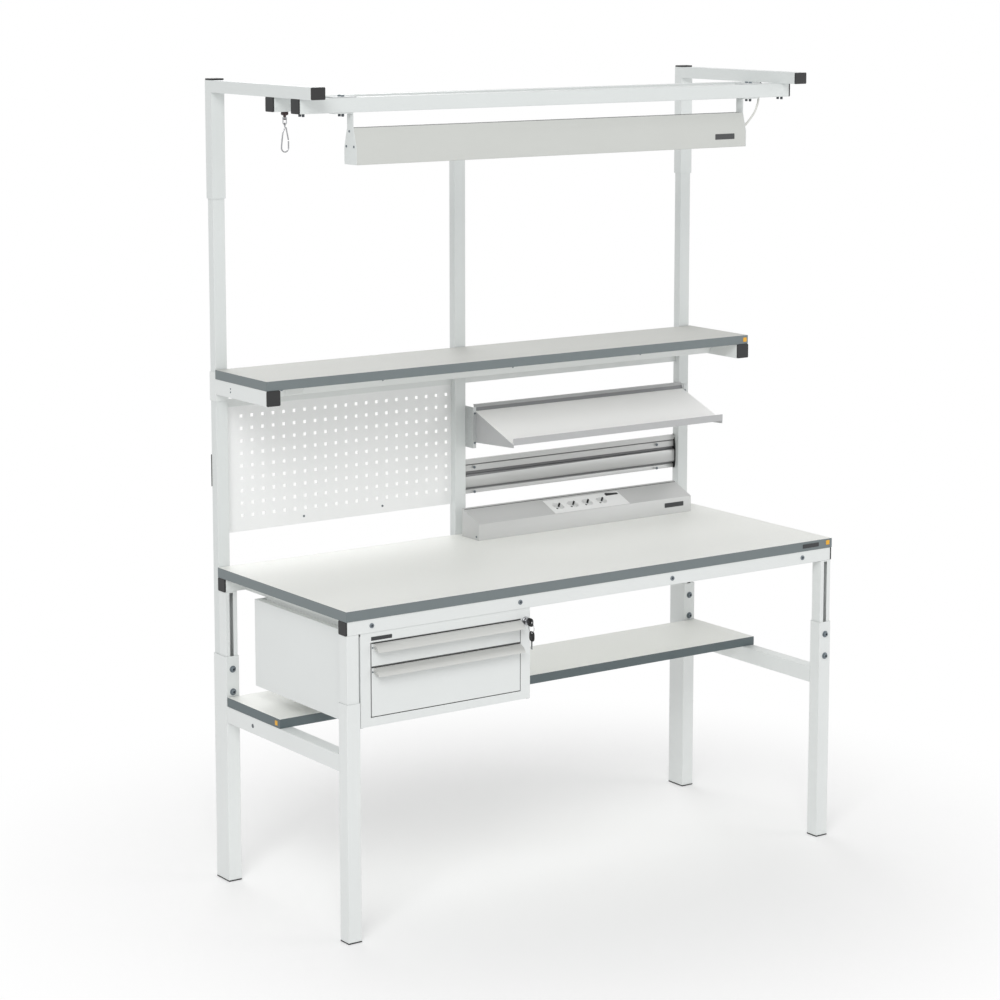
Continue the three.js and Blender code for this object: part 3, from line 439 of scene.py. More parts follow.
def finished(
    name: str, mesh: Mesh, body: Body, finishes: Finish | Sequence[Finish],
    stands_for: Sequence[str] = (),
) -> Piece:
    """Makes an object of a mesh, dresses it and lets it ride on its body.

    Args:
        name: The piece's name.
        mesh: Its mesh, in metres in the CAD's frame.
        body: The body that carries it.
        finishes: Its finish, or one for each material number.
        stands_for: The CAD nodes that it replaces.

    Returns:
        The new object.
    """
    several = [finishes] if isinstance(finishes, Finish) else list(finishes)
    for face in mesh.faces:
        face.smooth = True
    for edge in mesh.edges:
        edge.smooth = len(edge.link_faces) == 2 and edge.calc_face_angle(math.pi) < SMOOTH_BELOW
    data = bpy.data.meshes.new(name)
    mesh.to_mesh(data)
    mesh.free()
    for finish in several:
        data.materials.append(finish.material())
    piece = put(name, data)
    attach(piece, body.value)
    if stands_for:
        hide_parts(*stands_for)
    log.info("made %s on %s", name, body.value)
    return piece


def bevel(mesh: Mesh, edges: Iterable[Any], width: float, segments: int) -> None:
    """Rounds edges by a width in millimetres.

    Args:
        mesh: The mesh.
        edges: The edges.
        width: The rounding's width.
        segments: Its number of steps.
    """
    bmesh.ops.bevel(
        mesh, geom=list(edges), offset=width * MM, offset_type="OFFSET", segments=segments,
        profile=0.5, affect="EDGES", clamp_overlap=True, material=-1,
    )


def soften(mesh: Mesh, width: float, edges: Iterable[Any] | None = None) -> Mesh:
    """Rounds a mesh's sharp edges, or those of the given ones that are sharp.

    Args:
        mesh: The mesh.
        width: The rounding's width in millimetres.
        edges: The edges to choose from, if not all.

    Returns:
        The same mesh.
    """
    chosen = mesh.edges if edges is None else edges
    sharp = [e for e in chosen if len(e.link_faces) == 2 and e.calc_face_angle(0) > SHARP_ABOVE]
    bevel(mesh, sharp, width, BEVEL_SEGMENTS)
    return mesh


def running(mesh: Mesh, axis: Axis) -> list[Any]:
    """The edges that run some way along an axis."""
    return [e for e in mesh.edges if abs((e.verts[0].co - e.verts[1].co)[axis]) > SAME_PLACE]


def closed_up(mesh: Mesh) -> Mesh:
    """The mesh with its doubles merged and its faces turned outward.

    Args:
        mesh: The mesh.

    Returns:
        The same mesh.
    """
    bmesh.ops.remove_doubles(mesh, verts=mesh.verts, dist=SAME_PLACE)
    bmesh.ops.recalc_face_normals(mesh, faces=mesh.faces)
    return mesh


def placed(mesh: Mesh, where: Matrix) -> Mesh:
    """The mesh moved by a transform."""
    bmesh.ops.transform(mesh, matrix=where, verts=mesh.verts)
    return mesh


def joined(parts: Iterable[Mesh]) -> Mesh:
    """One mesh made of several.

    Args:
        parts: The meshes, which are freed.

    Returns:
        The new mesh.
    """
    mesh = bmesh.new()
    data = bpy.data.meshes.new("part")
    for part in parts:
        part.to_mesh(data)
        part.free()
        mesh.from_mesh(data)
    bpy.data.meshes.remove(data)
    return mesh


def facing(spot: Vector, axis: Sequence[float]) -> Matrix:
    """The transform that stands a shape's own Z along an axis at a spot."""
    turn = Vector(UP).rotation_difference(Vector(axis))
    return Matrix.Translation(spot) @ turn.to_matrix().to_4x4()


def slab(one: Vector, other: Vector) -> Mesh:
    """A box between two corners.

    Args:
        one: One corner, in metres.
        other: The corner opposite.

    Returns:
        The box as a mesh.
    """
    mesh = bmesh.new()
    size = Matrix.Diagonal((*(abs(length) for length in other - one), 1))
    bmesh.ops.create_cube(mesh, size=1, matrix=Matrix.Translation((one + other) / 2) @ size)
    return mesh


def carried(mesh: Mesh, along: Sequence[float]) -> Mesh:
    """A flat mesh made a closed solid, its faces carried along a vector.

    Args:
        mesh: The flat mesh.
        along: The vector in metres.

    Returns:
        The same mesh.
    """
    made = bmesh.ops.extrude_face_region(mesh, geom=mesh.faces[:], use_keep_orig=True)
    moved = [g for g in made["geom"] if isinstance(g, bmesh.types.BMVert)]
    bmesh.ops.translate(mesh, verts=moved, vec=along)
    bmesh.ops.recalc_face_normals(mesh, faces=mesh.faces)
    return mesh


def prism(outline: Iterable[Vector], start: float, stop: float) -> Mesh:
    """An outline in Y and Z carried along the bench, from one X in millimetres to another.

    Args:
        outline: The outline's points, in metres.
        start: The X where it starts.
        stop: The X where it stops.

    Returns:
        The solid as a mesh.
    """
    mesh = bmesh.new()
    mesh.faces.new([mesh.verts.new(p + Vector((start * MM, 0, 0))) for p in outline])
    return carried(mesh, ((stop - start) * MM, 0, 0))


def turned(profile: Outline, steps: int = MEDIUM) -> Mesh:
    """A turned shape about its own Z.

    Args:
        profile: Radius and height in millimetres, from the axis round to the axis.
        steps: The number of sides.

    Returns:
        The closed shape as a mesh.
    """
    mesh = bmesh.new()
    verts = [mesh.verts.new(Vector((r, 0, z)) * MM) for r, z in profile]
    edges = [mesh.edges.new(pair) for pair in zip(verts, verts[1:])]
    if profile[0][0] > 0:
        edges.append(mesh.edges.new((verts[-1], verts[0])))
    bmesh.ops.spin(
        mesh, geom=[*verts, *edges], cent=(0, 0, 0), axis=UP, dvec=(0, 0, 0),
        angle=2 * math.pi, steps=steps, use_merge=True, use_duplicate=False,
    )
    return closed_up(mesh)


def rounded_plate(size: Triple, corner: float, rim: float) -> Mesh:
    """A flat plate standing on its own XY plane, with round corners and a softened rim.

    Args:
        size: Its width, height and thickness in millimetres.
        corner: The radius of its corners.
        rim: The width of its softened rim.

    Returns:
        The plate as a mesh.
    """
    half = Vector((size[0] / 2, size[1] / 2, 0)) * MM
    mesh = slab(-half, half + Vector((0, 0, size[2])) * MM)
    bevel(mesh, running(mesh, Axis.Z), corner, CORNER_SEGMENTS)
    return soften(mesh, rim)


def tube_along(
    name: str, points: Sequence[Vector], radius: float, swell: Sequence[float] = (),
    closed: bool = False,
) -> Piece:
    """A round wire along points, as a curve that rides on nothing yet.

    Args:
        name: The curve's name.
        points: The line that it follows, in metres.
        radius: Its radius in millimetres.
        swell: A share of the radius at each point.
        closed: Whether it runs back to its start.

    Returns:
        The curve object.
    """
    curve = bpy.data.curves.new(name, "CURVE")
    curve.dimensions = "3D"
    curve.bevel_depth = radius * MM
    curve.bevel_resolution = 4
    curve.use_fill_caps = True
    spline = curve.splines.new("POLY")
    spline.points.add(len(points) - 1)
    for index, point in enumerate(points):
        spline.points[index].co = (*point, 1)
        spline.points[index].radius = swell[index] if swell else 1
    spline.use_cyclic_u = closed
    spline.use_smooth = True
    return put(name, curve)


def wire(
    points: Sequence[Vector], radius: float, swell: Sequence[float] = (), closed: bool = False
) -> Mesh:
    """The mesh of a round wire along points.

    Args:
        points: The line that it follows, in metres.
        radius: Its radius in millimetres.
        swell: A share of the radius at each point.
        closed: Whether it runs back to its start.

    Returns:
        The wire as a mesh.
    """
    curve = tube_along("wire", points, radius, swell, closed)
    bpy.context.view_layer.update()
    data = bpy.data.meshes.new_from_object(curve)
    mesh = bmesh.new()
    mesh.from_mesh(data)
    bpy.data.meshes.remove(data)
    bpy.data.objects.remove(curve)
    return closed_up(mesh)


def smooth_line(points: Sequence[Vector], per_stretch: int) -> list[Vector]:
    """A smooth line through points, each stretch cut into equal steps.

    Args:
        points: The points.
        per_stretch: The number of steps in each stretch.

    Returns:
        The line's points.
    """
    line: list[Vector] = []
    last = len(points) - 1
    for index, (start, stop) in enumerate(zip(points, points[1:])):
        before, after = points[max(index - 1, 0)], points[min(index + 2, last)]
        handles = start + (stop - before) / 6, stop - (after - start) / 6
        line += interpolate_bezier(start, *handles, stop, per_stretch + 1)[:-1]
    return [*line, points[last]]


@dataclass(frozen=True)
class ScrewHead:
    """A screw or bolt head, in millimetres.

    Attributes:
        radius: The head's radius.
        height: How far it stands out.
        recess: The radius of the drive's hollow, or 0.
        sides: Its number of sides.
        shares: Of the height, the rim and the hollow's floor; of the radius, the crown's edge.
    """

    radius: float
    height: float
    recess: float = 0.0
    sides: int = 24
    shares: Span = (0.35, 0.82)

    def profile(self) -> list[Span]:
        """The head's outline from its seat over its top to its axis.

        Returns:
            Radius and height at each point, in millimetres.
        """
        low, edge = self.height * self.shares[0], self.radius * self.shares[1]
        outline: list[Span] = [(0, -0.3), (self.radius, -0.3), (self.radius, self.height - low)]
        outline += [(self.radius * 0.95, self.height - low * 0.3), (edge, self.height)]
        if not self.recess:
            return [*outline, (0, self.height)]
        return [*outline, (self.recess, self.height), (self.recess * 0.9, low), (0, low)]


WASHER = ScrewHead(10.5, 1.4, 0, FINE)
CLAMP_SCREW = ScrewHead(7, 5.5, 3.6, 36)
RAIL_SCREW = ScrewHead(7.2, 2.4, 3.5, 36)
PAN_SCREW = ScrewHead(4.6, 1.8, 2.0)
SMALL_SCREW = ScrewHead(3.6, 1.2, 1.6)
TINY_SCREW = ScrewHead(2.6, 0.7, 1.1, COARSE)
FLUSH_SCREW = ScrewHead(4.6, 0.35, 2.2)
HEX_BOLT = ScrewHead(5.6, 4.4, 0, 6)
BOLT_END = ScrewHead(4.2, 8.5, 0, COARSE)


def screws(
    name: str, body: Body, head: ScrewHead, spots: Iterable[Vector], axis: Sequence[float] = FRONT,
    finish: Finish = ZINC,
) -> None:
    """One piece for a set of equal screws that face one way.

    Args:
        name: The piece's name.
        body: The body that carries it.
        head: The head's sizes.
        spots: Where each head is seated.
        axis: The way the heads face.
        finish: Their finish.
    """
    parts = []
    for spot in spots:
        part = turned(head.profile(), head.sides)
        for face in part.faces:
            widest = max(v.co.xy.length for v in face.verts)
            # Faces inside the drive's hollow wear the darker zinc: painted shade.
            face.material_index = int(widest < head.recess * 1.01 * MM)
        parts.append(placed(part, facing(spot, axis)))
    finished(name, joined(parts), body, [finish, ZINC_DARK] if head.recess else finish)


def copy_of(node: str, width: float, ends: Iterable[tuple[Axis, int, float]] = ()) -> Mesh:
    """A CAD node's mesh, some ends drawn in with their own rounding, and its edges rounded.

    Args:
        node: The node's name.
        width: The width of the rounding in millimetres.
        ends: Each end's axis, its direction and how far it is drawn in.

    Returns:
        The mesh.
    """
    mesh = bmesh.new()
    mesh.from_mesh(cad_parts[node].data)
    bmesh.ops.remove_doubles(mesh, verts=mesh.verts, dist=SAME_PLACE)
    for axis, end, amount in ends:
        limit = max(end * vertex.co[axis] for vertex in mesh.verts)
        for vertex in mesh.verts:
            if limit - end * vertex.co[axis] < amount * MM + SAME_PLACE:
                vertex.co[axis] -= end * amount * MM
    return soften(mesh, width)


def dressed(
    node: str, body: Body, finishes: Finish | Sequence[Finish], width: float,
    ends: Iterable[tuple[Axis, int, float]] = (), second: Callable[[Any], bool] | None = None,
    name: str = "",
) -> None:
    """Makes a finished piece of a CAD node, in its place.

    Args:
        node: The node's name.
        body: The body that carries it.
        finishes: Its finish or finishes.
        width: The width of its rounded edges.
        ends: The ends that are drawn in, as for copy_of.
        second: Tells the faces that wear the second finish.
        name: The piece's name, if not the node's with its ending.
    """
    mesh = copy_of(node, width, ends)
    if second:
        for face in mesh.faces:
            face.material_index = int(second(face))
    finished(name or f"{node}_finished", mesh, body, finishes, [node])


def board(
    node: str, body: Body, edge: Finish, ends: Iterable[tuple[Axis, int, float]] = (),
    top: Finish = TOP,
) -> None:
    """A laminated board: pale faces above and below, edging round its sides."""
    dressed(node, body, [top, edge], 1.2, ends, lambda face: abs(face.normal.z) <= LEVEL)


def end_cap(name: str, body: Body, one: Vector, other: Vector) -> None:
    """A black cap on a tube's end, between two corners.

    Args:
        name: The piece's name.
        body: The body that carries it.
        one: One corner.
        other: The corner opposite.
    """
    mesh = slab(one, other)
    thin = min(Axis, key=lambda axis: abs((other - one)[axis]))
    soften(mesh, CAP_CORNER, running(mesh, thin))
    finished(name, soften(mesh, CAP_RIM), body, CAP)


def plate(
    name: str, body: Body, spot: Vector, size: Span = STICKER_SIZE, finish: Finish = STICKER,
    axis: Sequence[float] = FRONT,
) -> None:
    """A thin upright plate with round corners on a face, a bare sticker unless told otherwise.

    Args:
        name: The piece's name.
        body: The body that carries it.
        spot: Its middle, on the face that it lies on.
        size: Its width and height in millimetres.
        finish: Its finish.
        axis: The way it faces.
    """
    face, rise = Vector(axis), Vector(UP)
    turn = Matrix((rise.cross(face), rise, face)).transposed().to_4x4()
    corner = min(size[1] * 0.3, PLATE_CORNER)
    mesh = rounded_plate((*size, PLATE_THICKNESS), corner, PLATE_RIM)
    finished(name, placed(mesh, Matrix.Translation(spot) @ turn), body, finish)


# Sub-assemblies


@dataclass
class Stand:
    """The fixed stand: sleeves, feet, side beams and the lower shelf."""

    leg: float = 877.5
    rear_face: float = 682.5
    front_depth: float = 45
    screw_heights: Span = (660, 590)
    beam_screw: Triple = (899.5, 529, 522)
    recess: Outline = ((0, -0.1), (6.2, -0.1), (6.2, 0.09), (6.14, 0.15), (0, 0.15))
    sticker: Triple = (-899, 392, 562)

    def build(self) -> None:
        """Builds every piece of the stand."""
        for side, sign in SIDES.items():
            for row in ROWS:
                dressed(f"sleeve_{row}_{side}", Body.STAND, COAT, 2.0)
                dressed(f"foot_{row}_{side}", Body.STAND, RUBBER, LEG_EDGE)
            dressed(f"low_beam_{side}", Body.STAND, COAT, TUBE_EDGE, [(Axis.X, sign, 0.5)])
            self.clamp_screws(side, sign)
            x, y, z = self.beam_screw
            spot, way = at(sign * x, y, z), (sign, 0, 0)
            # A dark disc in the beam's recess behind the flush screw: painted shade.
            mesh = placed(turned(self.recess, FINE), facing(spot, way))
            finished(f"low_beam_recess_{side}", mesh, Body.STAND, HOLE_SHADE)
            screws(f"low_beam_screw_{side}", Body.STAND, FLUSH_SCREW, [spot], way)
        board("lower_shelf", Body.STAND, EDGE_DARK, [(Axis.X, -1, 1.0)])
        plate("lower_shelf_sticker", Body.STAND, at(*self.sticker), axis=(-1, 0, 0))

    def clamp_screws(self, side: str, sign: int) -> None:
        """The two clamp screws of each sleeve on one side, with their washers.

        Args:
            side: The side's name.
            sign: Its direction along X.
        """
        front = (self.front_depth, 1) if sign < 0 else (0, -1)
        for row, (y, way) in zip(ROWS, (front, (self.rear_face, -1))):
            lifts = (("washers", WASHER, 0), ("screws", CLAMP_SCREW, WASHER.height))
            for kind, head, lift in lifts:
                spots = [at(sign * self.leg, y + way * lift, z) for z in self.screw_heights]
                screws(f"clamp_{kind}_{row}_{side}", Body.STAND, head, spots, (0, way, 0))


@dataclass
class DeskFrame:
    """The frame that slides in the stand, with the desk board on it."""

    half: float = 900
    rail_y: tuple[Span, Span] = ((2.5, 42.5), (685, 725))
    rail_z: Span = (897, 937)
    beams: tuple[float, ...] = (-814, -302, 262, 780)
    screw_z: float = 917.5
    sticker: Triple = (882, 0, 955)
    plate_at: Triple = (812, 0, 953)
    plate_size: Span = (66, 13)

    def build(self) -> None:
        """Builds the legs, rails, beams and board."""
        for side in SIDES:
            for row in ROWS:
                dressed(f"inner_leg_{row}_{side}", Body.DESK, COAT, LEG_EDGE)
        for number in range(1, len(self.beams) + 1):
            dressed(f"cross_beam_{number}", Body.DESK, COAT, LEG_EDGE)
        for row, (y0, y1) in zip(ROWS, self.rail_y):
            ends = [(Axis.X, sign, CAP_DEPTH) for sign in SIDES.values()]
            dressed(f"{row}_rail", Body.DESK, COAT, TUBE_EDGE, ends)
            for side, sign in SIDES.items():
                inner = at(sign * (self.half - CAP_DEPTH), y0, self.rail_z[0])
                outer = at(sign * self.half, y1, self.rail_z[1])
                end_cap(f"{row}_rail_cap_{side}", Body.DESK, inner, outer)
        board("desk_board", Body.DESK, EDGE)
        spots = [at(x, self.rail_y[0][0], self.screw_z) for x in self.beams]
        screws("front_rail_screws", Body.DESK, RAIL_SCREW, spots)
        plate("desk_sticker", Body.DESK, at(*self.sticker))
        plate("desk_plate", Body.DESK, at(*self.plate_at), self.plate_size, DARK_PLATE)


@dataclass
class HolePanel:
    """The sheet with rows of square holes, folded back round its edge."""

    left: float = -857.5
    right: float = -40
    bottom: float = 1062
    top: float = 1445
    face: float = 749
    sheet: float = 1.5
    fold: float = 6
    hole: float = 10
    pitch: Span = (37, 38)
    top_row: float = 31
    columns: int = 21
    rows: int = 9
    screw_x: Span = (-583, -298)
    screw_z: float = 1084

    def lines(self) -> tuple[list[float], list[float]]:
        """The lines along X and Z at which the holes' edges lie, with the sheet's own edges.

        Returns:
            The lines across and the lines up, in millimetres.
        """
        half = self.hole / 2
        middles = [self.right - self.pitch[0] * (i + 0.5) for i in range(self.columns)]
        levels = [self.top - self.top_row - self.pitch[1] * i for i in range(self.rows)]
        across, up = (
            [m + step for m in reversed(places) for step in (-half, half)]
            for places in (middles, levels)
        )
        return [self.left, *across, self.right], [self.bottom, *up, self.top]

    def build(self) -> None:
        """Builds the sheet with its holes and folded edge, and its screws."""
        across, up = self.lines()
        columns, rows = len(across) - 1, len(up) - 1
        mesh = bmesh.new()
        bmesh.ops.create_grid(mesh, x_segments=columns, y_segments=rows, size=0.5)
        for vertex in mesh.verts:
            column = round((vertex.co.x + 0.5) * columns)
            row = round((vertex.co.y + 0.5) * rows)
            vertex.co = at(across[column], self.face, up[row])
        limit = (self.hole + 0.5) * MM
        cells = [f for f in mesh.faces if all(e.calc_length() < limit for e in f.edges)]
        bmesh.ops.delete(mesh, geom=cells, context="FACES")
        carried(mesh, (0, self.sheet * MM, 0))
        soften(mesh, 0.6, running(mesh, Axis.Y))
        soften(mesh, FINE_EDGE)
        mesh = joined([mesh, *self.folds()])
        finished("hole_panel", mesh, Body.DESK, COAT_PANEL, ["perforated_panel"])
        spots = [at(x, self.face, self.screw_z) for x in self.screw_x]
        screws("hole_panel_screws", Body.DESK, SMALL_SCREW, spots)

    def folds(self) -> list[Mesh]:
        """The four strips folded back from the sheet's edges.

        Returns:
            The strips as meshes.
        """
        front, rear = self.face + self.sheet * 0.5, self.face + self.fold
        left, right, bottom, top, wall = self.left, self.right, self.bottom, self.top, self.sheet
        strips = [(left, left + wall, bottom, top), (right - wall, right, bottom, top)]
        strips += [(left, right, bottom, bottom + wall), (left, right, top - wall, top)]
        return [slab(at(x0, front, z0), at(x1, rear, z1)) for x0, x1, z0, z1 in strips]


@dataclass
class BackWall:
    """Posts, back rail, slotted tool rail and sloping tray."""

    post: tuple[Triple, Triple] = ((-40, 725, 2246), (0, 755, 2250))
    strip: tuple[Triple, Triple] = ((-899, 755, 1209), (-889, 757.2, 1306))
    rail_face: float = 742
    grooves: tuple[Span, ...] = ((1101.4, 1108.8), (1143.8, 1160), (1179.6, 1182.8))
    rail_screw_x: Span = (45, 780)
    rail_screws: tuple[tuple[str, float, float], ...] = (
        ("upper", 742, 1172), ("lower", 741, 1093),
    )
    rail_end_x: Span = (854.5, 857.3)
    rail_end: Outline = (
        (755, 1087), (743, 1087), (740.5, 1096), (738.5, 1110), (738, 1128),
        (738.5, 1150), (740, 1168), (743, 1184), (746, 1200), (755, 1200),
    )
    tray_steep: float = 0.6
    bracket_screws: Outline = ((6.5, 1262), (6.5, 1356), (851, 1262), (851, 1356))
    bracket_face: float = 684
    trim_x: Span = (12.5, 845)
    trim: Outline = (
        (689.3, 1363), (699.3, 1382.6), (701.8, 1382.6), (701.8, 1381.9), (700, 1381.9),
        (690, 1363),
    )

    def build(self) -> None:
        """Builds every piece behind the desk."""
        # The side and middle posts wear the frame coat darkened as painted shade.
        for side in SIDES:
            dressed(f"side_post_{side}", Body.DESK, COAT_POST_SHADE, 1.4)
            dressed(f"tray_bracket_{side}", Body.DESK, ZINC_PLATE, SHEET_EDGE)
        low, high = self.post
        ends = [(Axis.Z, 1, high[2] - low[2])]
        dressed("middle_post", Body.DESK, COAT_POST_SHADE, LEG_EDGE, ends)
        end_cap("middle_post_cap", Body.DESK, at(*low), at(*high))
        dressed("back_rail", Body.DESK, COAT, 0.8)
        # Faces inside the grooves wear the darker anodising: painted shade.
        dressed("tool_rail", Body.DESK, [ALUMINIUM, GROOVE_SHADE], 0.5, second=self.in_groove)
        # The tray's top wears the lightened coat and its steep faces the darkened one: painted
        # light and shade.
        dressed(
            "sloping_tray", Body.DESK, [COAT_TRAY_LIT, TRAY_SIDE_SHADE], 0.5,
            second=lambda face: abs(face.normal.z) < self.tray_steep, name="tray_finished",
        )
        for level, y, z in self.rail_screws:
            spots = [at(x, y, z) for x in self.rail_screw_x]
            screws(f"tool_rail_screws_{level}", Body.DESK, PAN_SCREW, spots)
        mesh = prism([at(0, y, z) for y, z in self.rail_end], *self.rail_end_x)
        finished("tool_rail_end", soften(mesh, 0.5), Body.DESK, CAP)
        spots = [at(x, self.bracket_face, z) for x, z in self.bracket_screws]
        screws("tray_bracket_screws", Body.DESK, SMALL_SCREW, spots)
        # The rear upstand wears the dark grey: painted shade.
        mesh = prism([at(0, y, z) for y, z in self.trim], *self.trim_x)
        finished("tray_rear_trim", mesh, Body.DESK, TRIM_SHADE)
        low, high = self.strip
        finished("post_strip", soften(slab(at(*low), at(*high)), 0.6), Body.DESK, CAP)

    def in_groove(self, face: Any) -> bool:
        """Whether a face of the tool rail lies inside one of its grooves.

        Args:
            face: The face.

        Returns:
            True where it wears the painted shade of the grooves.
        """
        middle = face.calc_center_median()
        level = any(low < middle.z / MM < high for low, high in self.grooves)
        return level and middle.y > at(0, self.rail_face, 0).y


@dataclass
class PowerBox:
    """The sloping box on the desk with its sockets and rocker."""

    foot: Span = (598, 1019)
    head: Span = (690, 1057)
    ends: Span = (-38, 812)
    sockets: tuple[float, ...] = (299, 356.5, 414, 471.5)
    middle: float = 42
    recess: float = 19.0
    depth: float = 16.5
    turn: float = math.radians(-45)
    contact_half: float = 9.5
    contact: Outline = ((0, -0.1), (3, -0.1), (3, 0.15), (0, 0.15))
    clip: Triple = (2.2, 4.4, 9)
    notch: Triple = (5.0, 6.0, 12.7)
    notch_depth: float = 12
    plate_at: Triple = (741, 598, 997)
    plate_size: Span = (78, 15)
    screw: Span = (610, 978)
    cover: float = 10
    seam: Triple = (846, 2.2, 0.3)

    def place(self, x: float, up: float, out: float) -> Matrix:
        """The transform to a point on the slope, whose Z leaves the slope.

        Args:
            x: The place along the bench.
            up: The reach up the slope.
            out: The height off the slope.

        Returns:
            The transform.
        """
        slope = math.atan2(self.head[1] - self.foot[1], self.head[0] - self.foot[0])
        cos, sin = math.cos(slope), math.sin(slope)
        spot = at(x, self.foot[0] + up * cos - out * sin, self.foot[1] + up * sin + out * cos)
        return Matrix.Translation(spot) @ Matrix.Rotation(slope, 4, "X")

    def build(self) -> None:
        """Builds the box, its covers, plate, sockets and rocker."""
        dressed("power_box", Body.DESK, ALUMINIUM_DULL, 0.9)
        dressed("socket_strip", Body.DESK, SOCKET, SHEET_EDGE)
        dressed("rocker_switch", Body.ROCKER, SWITCH, LEG_EDGE)
        cups = joined(self.cup(x) for x in self.sockets)
        holes = joined(part for x in self.sockets for part in self.holes(x))
        clips = joined(part for x in self.sockets for part in self.clips(x))
        finished("socket_cups", cups, Body.DESK, SOCKET)
        # Dark discs and plates for the contact holes and notches: painted shade.
        finished("socket_holes", holes, Body.DESK, HOLE_SHADE)
        finished("socket_earth_clips", clips, Body.DESK, CHROME)
        plate("power_box_plate", Body.DESK, at(*self.plate_at), self.plate_size, DARK_PLATE)
        for (side, sign), x in zip(SIDES.items(), self.ends):
            spots = [at(x, *self.screw)]
            screws(f"power_box_screw_{side}", Body.DESK, SMALL_SCREW, spots, (sign, 0, 0))
        # A dark strip along the cover's joint: painted shade in the seam's gap.
        rise = math.dist(self.foot, self.head) - self.cover
        mesh = placed(rounded_plate(self.seam, 0.4, 0.1), self.place(sum(self.ends) / 2, rise, 0))
        finished("power_box_seam", mesh, Body.DESK, HOLE_SHADE)

    def cup(self, x: float) -> Mesh:
        """One socket's round cup and lip.

        Args:
            x: The socket's place along the bench.

        Returns:
            The cup as a mesh.
        """
        deep, inner, lip = -self.depth, self.recess - 0.5, self.recess + 1.6
        cup = [(0, deep), (inner - 1, deep), (inner, deep + 1), (inner, -0.4), (inner + 0.4, 0.2)]
        cup += [(lip - 0.4, 0.45), (lip, 0.05), (self.recess + 0.1, -0.2)]
        cup += [(self.recess - 0.1, deep - 0.3), (0, deep - 0.3)]
        return placed(turned(cup, FINEST), self.place(x, self.middle, 0))

    def about(self, x: float, reach: float, angle: float, out: float) -> Matrix:
        """The transform to a point round a socket's middle."""
        along, up = reach * math.cos(angle), reach * math.sin(angle)
        return self.place(x + along, self.middle + up, out)

    def holes(self, x: float) -> Iterable[Mesh]:
        """One socket's two contact holes and the two notches behind its earth clips, as dark pieces
        of painted shade.

        Args:
            x: The socket's place along the bench.

        Returns:
            Their meshes.
        """
        across = self.turn + math.pi / 2
        twist = Matrix.Rotation(across, 4, "Z")
        for end in (-1, 1):
            where = self.about(x, end * self.contact_half, self.turn, -self.depth)
            yield placed(turned(self.contact, COARSE), where)
            where = self.about(x, end * (self.recess - 0.3), across, -self.notch_depth)
            yield placed(rounded_plate(self.notch, 1.2, 0.3), where @ twist)

    def clips(self, x: float) -> Iterable[Mesh]:
        """One socket's two earth clips.

        Args:
            x: The socket's place along the bench.

        Returns:
            Their meshes.
        """
        across = self.turn + math.pi / 2
        for end in (-1, 1):
            where = self.about(x, end * (self.recess - 1.7), across, 3 - self.depth)
            clip = rounded_plate(self.clip, 0.5, 0.4)
            yield placed(clip, where @ Matrix.Rotation(across, 4, "Z"))


